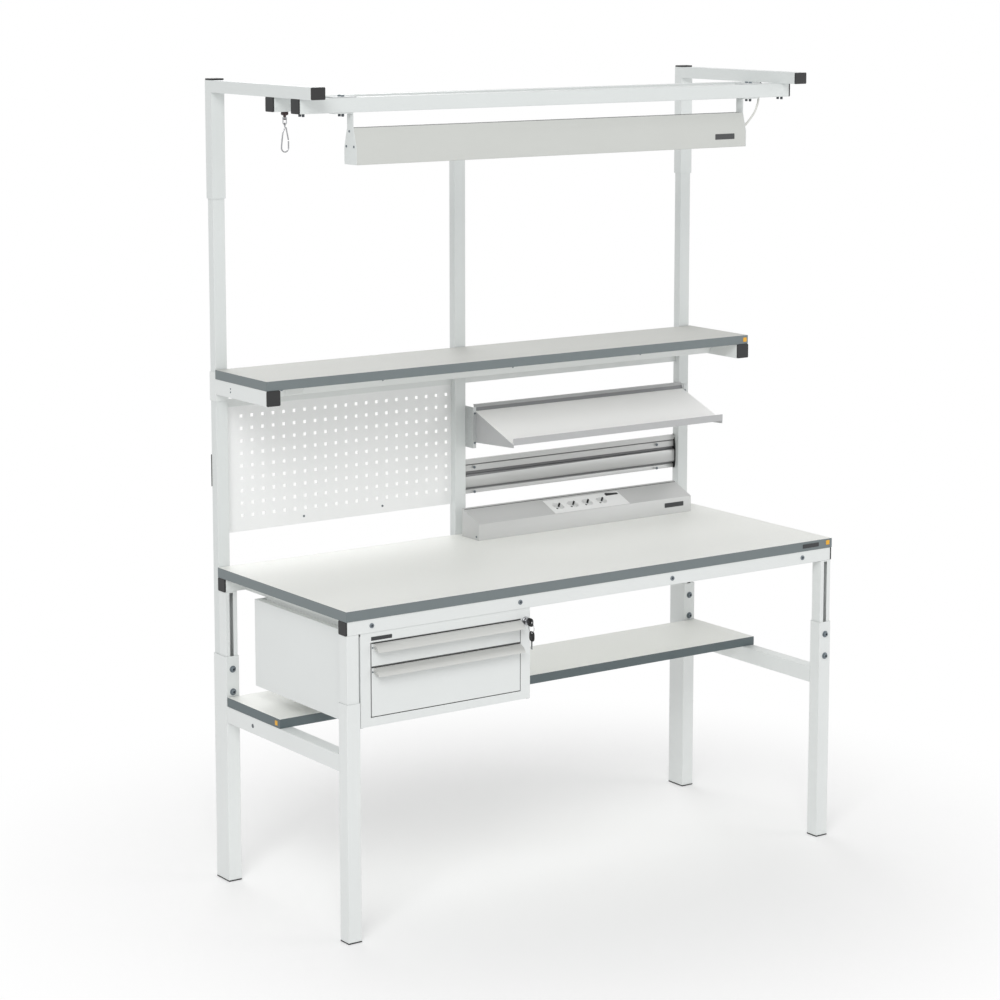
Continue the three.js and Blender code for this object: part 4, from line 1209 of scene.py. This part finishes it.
@dataclass
class DrawerCabinet:
    """The hanging cabinet with two drawers and their pulls."""

    left: float = -815.75
    right: float = -300.25
    face: float = 5
    levels: tuple[tuple[str, Body, float], ...] = (
        ("upper", Body.DRAWER_UPPER, 866), ("lower", Body.DRAWER_LOWER, 796),
    )
    gap_left: float = 2.2
    gap_right: float = 0.7
    gap_below: float = 1.0
    reach: float = 28
    drop: float = 21.6
    seat: float = 16
    # The height of the gap above the pull, filled with painted shade.
    groove: float = 2.4
    pull_inset: float = 9
    pull_screw: Span = (5.6, 14)
    sheet: float = 2.4
    cheek: float = 2.5
    # How far the painted shade reaches into the opening from the front face.
    edging: float = 16
    opening_x: Span = (-817.25, -298.75)
    opening_z: Span = (650.5, 867.5)
    lip: tuple[Triple, Triple] = ((-850, 5.3, 887.5), (-266, 6.8, 896.6))
    tabs: tuple[Triple, ...] = ((-845, 11, 622.6), (-271, 11, 622.6))
    tab: Triple = (10, 7, 2.5)
    plate_at: Triple = (-780, 5, 878.5)
    plate_size: Span = (70, 11)

    def build(self) -> None:
        """Builds the case, drawers, pulls and small fittings."""
        self.case()
        for side in SIDES:
            dressed(f"runner_plate_{side}", Body.DESK, ZINC_PLATE, SHEET_EDGE)
        ends = [(Axis.X, -1, self.gap_left), (Axis.X, 1, self.gap_right)]
        ends += [(Axis.Z, -1, self.gap_below)]
        for level, body, top in self.levels:
            dressed(f"drawer_{level}", body, COAT, 0.6, ends)
            self.pull(level, body, top)
            spot = at(self.left + self.pull_screw[0], self.face, top - self.pull_screw[1])
            screws(f"pull_screw_{level}", body, TINY_SCREW, [spot])
        plate("cabinet_plate", Body.DESK, at(*self.plate_at), self.plate_size, DARK_PLATE)
        low, high = self.lip
        finished("cabinet_front_lip", soften(slab(at(*low), at(*high)), 0.3), Body.DESK, COAT)
        tabs = joined(
            placed(rounded_plate(self.tab, 1.5, 0.5), Matrix.Translation(at(*spot)))
            for spot in self.tabs
        )
        finished("cabinet_tabs", tabs, Body.DESK, COAT)

    def case(self) -> None:
        """The case, with painted shade on the walls round the front of its opening."""
        mesh = copy_of("cabinet_case", 0.9)
        stop = at(0, self.face + self.edging, 0)
        bmesh.ops.bisect_plane(
            mesh, geom=[*mesh.verts, *mesh.edges, *mesh.faces], dist=SAME_PLACE,
            plane_co=stop, plane_no=(0, 1, 0),
        )
        for face in mesh.faces:
            middle = face.calc_center_median()
            walls = [middle.x - x * MM for x in self.opening_x]
            walls += [middle.z - z * MM for z in self.opening_z]
            near = min(abs(gap) for gap in walls) < 2 * SAME_PLACE
            # The opening's walls near the front wear the near black: painted shade.
            face.material_index = int(near and middle.y < stop.y)
        finished("cabinet_case_finished", mesh, Body.DESK, [COAT, HOLE_SHADE], ["cabinet_case"])

    def curve(self, top: float, inward: float) -> list[Vector]:
        """The pull's curved face, from the drawer's top edge down to its lip.

        Args:
            top: The height that it starts from.
            inward: How far it lies inside the outer face.

        Returns:
            The curve's points.
        """
        face, lip = self.face, self.face - self.reach
        start = at(0, face, top - inward)
        first = at(0, face - 13, top - 3 - inward)
        second = at(0, lip + 3.5 + inward * 0.8, top - 11 - inward * 0.4)
        stop = at(0, lip + inward, top - self.drop)
        return interpolate_bezier(start, first, second, stop, 16)

    def pull(self, level: str, body: Body, edge: float) -> None:
        """One pull: a curved sheet with a rolled lip and a cheek at each end.

        Args:
            level: The drawer's name.
            body: The drawer's body.
            edge: The height of the drawer's top edge.
        """
        top = edge - self.groove
        # A dark slab in the gap between the drawer's top edge and the pull: painted shade.
        low = at(self.left + self.gap_left, self.face - 0.4, top)
        high = at(self.right - self.gap_right, self.face + 1, edge)
        finished(f"pull_gap_shade_{level}", soften(slab(low, high), FINE_EDGE), body, HOLE_SHADE)
        outer, inner = self.curve(top, 0), self.curve(top, self.sheet)
        back = self.face - self.sheet
        inner[0] = at(0, back, top - self.sheet - 0.4)
        seat = at(0, self.face, top - self.seat)
        sheet = [*outer, *reversed(inner), at(0, back, top - self.seat), seat]
        left, right, inset = self.left + self.pull_inset, self.right, self.cheek * 0.9
        parts = [prism(sheet, left + inset, right - inset)]
        parts += [prism([*outer, seat], x, x + self.cheek) for x in (left, right - self.cheek)]
        mesh = joined(soften(part, SHEET_EDGE) for part in parts)
        finished(f"pull_{level}", mesh, body, PULL, [f"handle_{level}"])


@dataclass
class LockAndKeys:
    """The cabinet's lock, the key in it and the spare key on a wire ring."""

    x: float = -282
    z: float = 859
    face: float = -1
    lock: Outline = (
        (6.5, 28), (6.5, 0), (7.2, -0.6), (11.4, -0.6), (12.4, 0.4), (12.5, 6), (9, 6), (9, 28),
    )
    plug: Outline = ((0, -0.8), (5.2, -0.8), (6.1, 0), (6.2, 1), (6.2, 24), (0, 24))
    bow_y: Span = (-34, -6)
    bow_height: float = 25
    bow_thickness: float = 3
    bow_sides: int = 40
    squareness: float = 0.62
    pad_share: float = 0.42
    pad_shift: float = 0.16
    pad_thickness: float = 0.35
    pad_corner: float = 2.6
    pad_rim: float = 0.12
    hole_y: float = -28
    hole_radius: float = 3.4
    spare_hole: float = 10.4
    ring_y: float = -25.6
    ring_top: float = 857
    ring_radius: float = 13.5
    ring_steps: int = 48
    wire: float = 0.8
    spare_z: Span = (804, 834)
    spare_width: float = 24
    blade_end: float = 780
    blade_half: float = 4
    notch_step: float = 3
    notches: tuple[float, ...] = (0.5, 1.6, 0.5, 1.6, 0.5, 1.6)

    def build(self) -> None:
        """Builds the lock, both keys and the ring."""
        inward = Matrix.Rotation(-math.pi / 2, 4, "X")
        where = Matrix.Translation(at(self.x, self.face + 0.6, self.z)) @ inward
        mesh = placed(turned(self.lock, FINE), where)
        finished("lock_ring", mesh, Body.DESK, CHROME, ["lock_housing"])
        middle = sum(self.bow_y) / 2
        size = (self.bow_y[1] - self.bow_y[0], self.bow_height)
        bow = self.bow(size, at(self.x, middle, self.z), (self.hole_y - middle, 0))
        finished("key_bow", bow, Body.KEY, [KEY_BLACK, KEY_PAD], ["key"])
        where = Matrix.Translation(at(self.x, self.face, self.z)) @ inward
        shank = self.blade((self.bow_y[1] - 1, self.face + 1), (self.z - 4, self.z + 4))
        plug = joined([placed(turned(self.plug, MEDIUM), where), shank])
        finished("key_plug", plug, Body.KEY, CHROME)
        self.spare()

    def blade(self, y: Span, z: Span) -> Mesh:
        """A flat steel blade 2 mm thick in the lock's plane."""
        return soften(slab(at(self.x - 1, y[0], z[0]), at(self.x + 1, y[1], z[1])), SHEET_EDGE)

    def bow(self, size: Span, middle: Vector, hole: Span) -> Mesh:
        """A key's bow in the YZ plane with a hole for the ring and a raised pad on each face.

        Args:
            size: Its reach along Y and Z in millimetres.
            middle: Its middle.
            hole: The hole's place from the middle, along Y and Z in millimetres.

        Returns:
            The bow as a mesh; its pads have the material number 1.
        """
        mesh = bmesh.new()
        outer = bmesh.ops.create_circle(mesh, cap_ends=False, segments=self.bow_sides, radius=1)
        for vertex in outer["verts"]:
            for axis, reach in enumerate(size):
                share = vertex.co[axis]
                rounded = math.copysign(abs(share) ** self.squareness, share)
                vertex.co[axis] = rounded * reach / 2 * MM
        bmesh.ops.create_circle(
            mesh, cap_ends=False, segments=self.bow_sides, radius=self.hole_radius * MM,
            matrix=Matrix.Translation(Vector((*hole, 0)) * MM),
        )
        bmesh.ops.bridge_loops(mesh, edges=mesh.edges[:])
        soften(carried(mesh, (0, 0, self.bow_thickness * MM)), 0.6)
        away = (int(hole[0] < 0) * size[0], -int(hole[1] > 0) * size[1])
        parts = [mesh]
        for level, flip in ((self.bow_thickness, 0), (0, math.pi)):
            width, height = (reach * self.pad_share for reach in size)
            measure = (width, height, self.pad_thickness)
            pad = rounded_plate(measure, self.pad_corner, self.pad_rim)
            for face in pad.faces:
                face.material_index = 1
            lift = Vector((away[0] * self.pad_shift, away[1] * self.pad_shift, level)) * MM
            parts.append(placed(pad, Matrix.Translation(lift) @ Matrix.Rotation(flip, 4, "X")))
        turn = Matrix.Rotation(math.pi / 2, 4, "Z") @ Matrix.Rotation(math.pi / 2, 4, "X")
        half = Vector((-self.bow_thickness / 2 * MM, 0, 0))
        return placed(joined(parts), Matrix.Translation(middle + half) @ turn)

    def spare(self) -> None:
        """The wire ring with the spare key's bow and blade."""
        middle = at(self.x, self.ring_y, self.ring_top - self.ring_radius)
        angles = [2 * math.pi * i / self.ring_steps for i in range(self.ring_steps)]
        arms = [Vector((0, math.cos(angle), math.sin(angle))) for angle in angles]
        line = [middle + arm * self.ring_radius * MM for arm in arms]
        ring = wire(line, self.wire, closed=True)
        finished("key_wire_ring", ring, Body.KEY_RING, CHROME, ["key_ring_and_spare_key"])
        centre = at(self.x, self.hole_y, sum(self.spare_z) / 2)
        size = (self.spare_width, self.spare_z[1] - self.spare_z[0])
        bow = self.bow(size, centre, (0, self.spare_hole))
        finished("spare_key_bow", bow, Body.KEY_RING, [KEY_BLACK, KEY_PAD])
        reach = (self.hole_y - self.blade_half, self.hole_y + self.blade_half)
        blade = self.blade(reach, (self.blade_end, self.spare_z[0] + 1))
        levels = [self.blade_end + self.notch_step * (i + 1) for i in range(len(self.notches))]
        for z in levels:
            bmesh.ops.bisect_plane(
                blade, geom=[*blade.verts, *blade.edges, *blade.faces], dist=SAME_PLACE,
                plane_co=at(0, 0, z), plane_no=UP,
            )
        for vertex in blade.verts:
            for z, notch in zip(levels, self.notches):
                if abs(vertex.co.z - z * MM) < SAME_PLACE and vertex.co.y < centre.y:
                    vertex.co.y += notch * MM
                    break
        finished("spare_key_blade", blade, Body.KEY_RING, CHROME)


@dataclass
class UpperShelf:
    """The shelf on two brackets that slide on the posts."""

    arm_x: Span = (855, 900)
    arm_z: Span = (1492, 1537)
    front: float = 420
    arm_screws: tuple[Triple, ...] = ((899.2, 633, 1519), (899.2, 633, 1509))
    beam_plate: tuple[Triple, Triple] = ((-760, 550.8, 1499), (-700, 552.2, 1533))
    beam_bolt: Triple = (-774, 552, 1519)
    beam_screws: tuple[Triple, ...] = ((-420, 552, 1514), (60, 552, 1514), (560, 552, 1514))
    sticker: Triple = (887, 422.5, 1551)

    def build(self) -> None:
        """Builds the shelf's pieces."""
        for side, sign in SIDES.items():
            ends = [(Axis.Y, -1, CAP_DEPTH), (Axis.X, sign, 0.8)]
            dressed(f"shelf_bracket_{side}", Body.UPPER_SHELF, COAT, TUBE_EDGE, ends)
            inner = at(sign * self.arm_x[0], self.front, self.arm_z[0])
            outer = at(sign * self.arm_x[1], self.front + CAP_DEPTH, self.arm_z[1])
            end_cap(f"shelf_arm_cap_{side}", Body.UPPER_SHELF, inner, outer)
            spots = [at(sign * x, y, z) for x, y, z in self.arm_screws]
            screws(f"shelf_arm_screws_{side}", Body.UPPER_SHELF, TINY_SCREW, spots, (sign, 0, 0))
        # The shelf's faces wear the darkened laminate: painted shade.
        board("upper_shelf", Body.UPPER_SHELF, EDGE, top=TOP_SHELF_SHADE)
        dressed("shelf_beam", Body.UPPER_SHELF, COAT, 0.9)
        low, high = self.beam_plate
        mesh = soften(slab(at(*low), at(*high)), SHEET_EDGE)
        finished("shelf_beam_plate", mesh, Body.UPPER_SHELF, COAT)
        screws("shelf_beam_bolt", Body.UPPER_SHELF, RAIL_SCREW, [at(*self.beam_bolt)])
        spots = [at(*spot) for spot in self.beam_screws]
        screws("shelf_beam_screws", Body.UPPER_SHELF, TINY_SCREW, spots)
        plate("upper_shelf_sticker", Body.UPPER_SHELF, at(*self.sticker))


@dataclass
class Gantry:
    """The overhead frame with its rails, the lamp and its cord."""

    arm_x: Span = (855, 900)
    arm_front: float = 157
    arm_z: Span = (2383, 2418)
    post_y: Span = (722.5, 757.5)
    top: float = 2423
    rail_ends: Span = (-900, 895)
    rail_y: tuple[Span, Span] = ((228, 270), (368, 410))
    rail_z: Span = (2341, 2383)
    clamps: Span = (-748, 742)
    clamp_half: Span = (40, 20)
    clamp_thickness: float = 3
    bolt_half: float = 9
    joints: Span = (-878, 870)
    lamp_ends: Span = (-720, 707)
    lamp_screws: Outline = ((226.5, 2244), (266.5, 2244), (250.5, 2287))
    plate_at: Triple = (622, 215, 2226)
    plate_size: Span = (76, 17)
    cord_radius: float = 3.25
    cord_route: tuple[Triple, ...] = (
        (707.5, 246.5, 2250), (714, 246.5, 2250), (725, 247, 2253.5), (739, 249, 2263),
        (752, 249, 2276), (767, 249, 2293), (777, 249, 2312), (782.5, 249, 2328),
        (783, 249, 2340.7),
    )
    cord_steps: int = 3
    sleeve_points: int = 4
    sleeve_radius: float = 6.2
    sleeve_taper: float = 0.45

    def cord(self) -> None:
        """Lays the lamp's cord and its tapered sleeve at the lamp's end plate."""
        line = smooth_line([at(*p) for p in self.cord_route], self.cord_steps)
        length = sum((b - a).length for a, b in zip(line, line[1:]))
        cord = tube_along("lamp_lead", line, self.cord_radius)
        cord.data.materials.append(CORD.material())
        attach(cord, Body.GANTRY.value)
        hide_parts("lamp_cord")
        route = [at(*p) for p in self.cord_route[:self.sleeve_points]]
        start = smooth_line(route, self.cord_steps)
        swell = [1 - self.sleeve_taper * i / (len(start) - 1) for i in range(len(start))]
        tapered = wire(start, self.sleeve_radius, swell)
        sleeve = finished("lead_sleeve", tapered, Body.GANTRY, CORD)
        tuple(line[0])
        log.info("lamp lead is %.4f m long", length)

    def build(self) -> None:
        """Builds the gantry's pieces."""
        for side, sign in SIDES.items():
            self.arm(side, sign)
        for row, (y0, y1) in zip(ROWS, self.rail_y):
            ends = [(Axis.X, sign, CAP_DEPTH) for sign in SIDES.values()]
            # The cross rails wear the frame coat darkened as painted shade.
            dressed(f"cross_rail_{row}", Body.GANTRY, COAT_POST_SHADE, TUBE_EDGE, ends)
            for side, x in zip(SIDES, self.rail_ends):
                inner = at(x - math.copysign(CAP_DEPTH, x), y0, self.rail_z[0])
                name = f"cross_rail_{row}_cap_{side}"
                end_cap(name, Body.GANTRY, inner, at(x, y1, self.rail_z[1]))
        self.lamp()
        self.bolts()

    def arm(self, side: str, sign: int) -> None:
        """One arm with a cap at its front and one on its post sleeve.

        Args:
            side: The side's name.
            sign: Its direction along X.
        """
        (low, high), (x0, x1) = self.arm_z, (sign * x for x in self.arm_x)
        ends = [(Axis.Y, -1, CAP_DEPTH), (Axis.Z, 1, self.top - high)]
        # The arm wears the frame coat darkened as painted shade.
        dressed(f"gantry_frame_{side}", Body.GANTRY, COAT_POST_SHADE, TUBE_EDGE, ends)
        inner, outer = at(x0, self.post_y[0], high), at(x1, self.post_y[1], self.top)
        end_cap(f"gantry_top_cap_{side}", Body.GANTRY, inner, outer)
        inner, outer = at(x0, self.arm_front, low), at(x1, self.arm_front + CAP_DEPTH, high)
        end_cap(f"gantry_arm_cap_{side}", Body.GANTRY, inner, outer)

    def lamp(self) -> None:
        """The lamp's housing, cover, end plates and screws."""
        # Upward faces of the housing wear the darkened coat: painted shade.
        dressed(
            "lamp_body", Body.GANTRY, [LAMP_COAT, LAMP_TOP_SHADE], 1.2,
            second=lambda face: face.normal.z > LEVEL, name="lamp_housing",
        )
        dressed("lamp_diffuser", Body.GANTRY, OPAL, 0.8)
        for (side, sign), x in zip(SIDES.items(), self.lamp_ends):
            # The hangers wear the frame coat darkened as painted shade.
            dressed(f"lamp_hanger_{side}", Body.GANTRY, COAT_POST_SHADE, 0.5)
            spots = [at(x, y, z) for y, z in self.lamp_screws]
            screws(f"lamp_screws_{side}", Body.GANTRY, SMALL_SCREW, spots, (sign, 0, 0))
        plate("lamp_plate", Body.GANTRY, at(*self.plate_at), self.plate_size, DARK_PLATE)

    def bolts(self) -> None:
        """The plates that hold the lamp on the front rail, and the bolts through that rail."""
        middle = sum(self.rail_y[0]) / 2
        pair = (middle - self.bolt_half, middle + self.bolt_half)
        bottom, seat = self.rail_z[0], self.rail_z[1] + self.clamp_thickness
        wide, deep = self.clamp_half
        for side, x in zip(SIDES, self.clamps):
            low = at(x - wide, middle - deep, self.rail_z[1])
            high = at(x + wide, middle + deep, seat)
            mesh = soften(slab(low, high), 0.8)
            finished(f"lamp_clamp_{side}", mesh, Body.GANTRY, ZINC_PLATE)
            spots = [at(x, y, seat) for y in pair]
            screws(f"lamp_clamp_bolts_{side}", Body.GANTRY, HEX_BOLT, spots, UP)
            spots = [at(x, y, bottom - self.clamp_thickness) for y in pair]
            screws(f"lamp_clamp_ends_{side}", Body.GANTRY, BOLT_END, spots, DOWN, ZINC_DARK)
        for side, x in zip(SIDES, self.joints):
            spots = [at(x, y, bottom) for y in pair]
            screws(f"joining_bolts_{side}", Body.GANTRY, BOLT_END, spots, DOWN, ZINC_DARK)


@dataclass
class ToolHanger:
    """The trolley in the rear rail and the snap hook on its pin."""

    x: float = -849
    y: float = 389
    rail_bottom: float = 2341
    frame_z: Span = (2338, 2343.25)
    frame_half: Span = (10, 5)
    head_half: Span = (15, 18)
    head_z: Span = (2343.05, 2350.75)
    pin: Outline = (
        (0, 2317), (3.4, 2317), (4, 2317.6), (4, 2320), (2.5, 2320), (2.5, 2325), (4.4, 2325),
        (4.4, 2339), (0, 2339),
    )
    roller: Outline = (
        (0, 0), (4.2, 0), (5, 0.8), (5, 4.2), (4.4, 5), (5, 5.8), (5, 9.2), (4.2, 10), (0, 10),
    )
    roller_step: float = 5.1
    roller_drop: float = 6.2
    roller_half: float = 5
    eye: Outline = (
        (3.1, 2321.1), (3.6, 2320.5), (6.4, 2320.5), (7, 2321.2), (7, 2323.8), (6.4, 2324.5),
        (3.6, 2324.5), (3.1, 2323.9),
    )
    stirrup_wire: float = 1.5
    stirrup: Outline = (
        (-5.65, 2321.5), (-5.65, 2313), (-5.65, 2308.5), (-3.955, 2305.6), (0, 2304.8),
        (3.955, 2305.6), (5.65, 2308.5), (5.65, 2313), (5.65, 2321.5),
    )
    hook_wire: float = 2.0
    hook_back: Outline = (
        (0.4, 2304.4), (0, 2301), (0, 2296.2), (-2.6, 2289.5), (-6.4, 2280), (-9.2, 2262),
        (-11, 2246),
    )
    bow_radius: float = 11.5
    bow_middle: float = 2237.5
    hook_nose: Outline = ((11.5, 2247), (11.5, 2256.8))
    small_eye: Span = (3.6, 2304.6)

    def build(self) -> None:
        """Builds the trolley, hook and gate."""
        self.trolley()
        here = Matrix.Translation(at(self.x, self.y, 0))
        link = wire(smooth_line(self.upright(self.stirrup), 5), self.stirrup_wire)
        mesh = joined([placed(turned(self.eye, FINE), here), link])
        finished("swivel_eye", mesh, Body.SNAP_HOOK, CHROME, ["snap_hook"])
        sweep = [math.radians(180 + 20 * i) for i in range(10)]
        r, middle = self.bow_radius, self.bow_middle
        bow = [(r * math.cos(a), middle + r * math.sin(a)) for a in sweep]
        path = smooth_line(self.upright([*self.hook_back, *bow, *self.hook_nose]), 4)
        r, middle = self.small_eye
        turns = [math.radians(15 * i) for i in range(24)]
        eye = [at(self.x, self.y + r * math.sin(a), middle + r * math.cos(a)) for a in turns]
        hook = joined([wire(path, self.hook_wire), wire(eye, self.stirrup_wire, closed=True)])
        finished("wire_hook", hook, Body.SNAP_HOOK, CHROME)
        dressed("hook_gate", Body.HOOK_GATE, CHROME, 0.7)

    def upright(self, points: Outline) -> list[Vector]:
        """Points across the bench and up, in the hook's plane."""
        return [at(self.x + x, self.y, z) for x, z in points]

    def around(self, half: Span, z: Span, width: float) -> Mesh:
        """A box about the trolley's middle, its edges rounded.

        Args:
            half: Half its reach along X and Y.
            z: Its lowest and highest Z.
            width: The rounding's width.

        Returns:
            The box as a mesh.
        """
        x, y = half
        low, high = at(self.x - x, self.y - y, z[0]), at(self.x + x, self.y + y, z[1])
        return soften(slab(low, high), width)

    def trolley(self) -> None:
        """The trolley: a head inside the rail, its pin, and two dark rollers under the rail."""
        mesh = joined([
            self.around(self.frame_half, self.frame_z, 0.5),
            self.around(self.head_half, self.head_z, 1.2),
            placed(turned(self.pin, MEDIUM), Matrix.Translation(at(self.x, self.y, 0))),
        ])
        finished("trolley_frame", mesh, Body.TROLLEY, ROLLER, ["trolley"])
        z, tilt = self.rail_bottom - self.roller_drop, Matrix.Rotation(math.pi / 2, 4, "X")
        y = self.y + self.roller_half
        spots = [at(self.x + end * self.roller_step, y, z) for end in (-1, 1)]
        places = [Matrix.Translation(spot) @ tilt for spot in spots]
        mesh = joined(placed(turned(self.roller, MEDIUM), where) for where in places)
        finished("trolley_rollers", mesh, Body.TROLLEY, ROLLER)


@dataclass
class Studio:
    """Camera, soft light, pale floor and white surroundings."""

    camera_at: Triple = (-5004.0, -6603.6, 2775.3)
    yaw: float = 35.0252
    pitch: float = 8.7476
    lens: float = 102.616
    sensor: float = 36
    shift: float = -0.105
    clip: Span = (0.1, 100)
    lamps: tuple[tuple[str, Triple, float, float], ...] = (
        ("key_light", (-7.9, -8.2, 9.0), 6.3, 700),
        ("fill_light", (9.5, -7.6, 3.2), 5.4, 200),
        ("rear_light", (1.5, 6.6, 4.6), 5.0, 145),
    )
    middle: Triple = (0, 0, 1.1)
    floor_size: float = 30
    floor_drop: float = 0.0005
    floor_colour: tuple[float, ...] = (0.97, 0.97, 0.97, 1)
    fade: Span = (0.6, 2.0)
    ambient: float = 0.585

    def camera(self) -> None:
        """Makes the camera at the photograph's angle."""
        data = bpy.data.cameras.new("camera")
        data.lens, data.sensor_width, data.shift_y = self.lens, self.sensor, self.shift
        data.clip_start, data.clip_end = self.clip
        camera = put("camera", data)
        camera.location = at(*self.camera_at)
        camera.rotation_euler = (math.radians(90 - self.pitch), 0, math.radians(-self.yaw))
        bpy.context.scene.camera = camera

    def build(self) -> None:
        """Sets the lamps, the floor and the world."""
        for name, spot, size, power in self.lamps:
            data = bpy.data.lights.new(name, "AREA")
            data.size, data.energy = size, power
            lamp = put(name, data)
            lamp.location = spot
            way = Vector(self.middle) - Vector(spot)
            lamp.rotation_euler = way.to_track_quat("-Z", "Y").to_euler()
        self.floor()
        world = bpy.data.worlds.new("surroundings")
        bpy.context.scene.world = world
        tree = Tree(world, "Background")
        level = {"Value": tree.seen(), "To Min": self.ambient, "To Max": 1.0}
        strength = tree.add("ShaderNodeMapRange", level)
        tree.feed(tree.shader, {"Color": (1, 1, 1, 1), "Strength": strength})
        bpy.context.scene.view_settings.view_transform = "Standard"

    def floor(self) -> None:
        """A wide pale floor that keeps the bench's shadow and fades to white away from it."""
        mesh = bmesh.new()
        bmesh.ops.create_grid(mesh, x_segments=1, y_segments=1, size=self.floor_size)
        bmesh.ops.translate(mesh, verts=mesh.verts, vec=(0, 0, -self.floor_drop))
        data = bpy.data.meshes.new("floor")
        mesh.to_mesh(data)
        mesh.free()
        material = bpy.data.materials.new("floor")
        tree = Tree(material, "Principled BSDF")
        tree.feed(tree.shader, {
            "Base Color": self.floor_colour, "Roughness": 0.9, "Specular IOR Level": 0.0,
        })
        reach = tree.add("ShaderNodeVectorMath", {0: tree.place()}, "Value", operation="LENGTH")
        white = tree.add("ShaderNodeEmission", {"Color": (1, 1, 1, 1), "Strength": 1.0})
        plain = Signal(tree, tree.shader.outputs[0])
        away = reach.between(*self.fade) * tree.seen()
        surface = tree.add("ShaderNodeMixShader", {0: away, 1: plain, 2: white})
        tree.feed(tree.nodes["Material Output"], {"Surface": surface})
        data.materials.append(material)
        floor = put("floor", data)


def main() -> None:
    """Builds the camera and cord first, then each sub-assembly and the studio."""
    logging.basicConfig(level=logging.INFO, format="%(message)s")
    studio = Studio()
    studio.camera()
    gantry = Gantry()
    gantry.cord()
    parts = [Stand(), DeskFrame(), BackWall(), HolePanel(), PowerBox(), DrawerCabinet()]
    parts += [LockAndKeys(), UpperShelf(), gantry, ToolHanger()]
    for part in parts:
        part.build()
    studio.build()


if __name__ == "__main__":
    main()
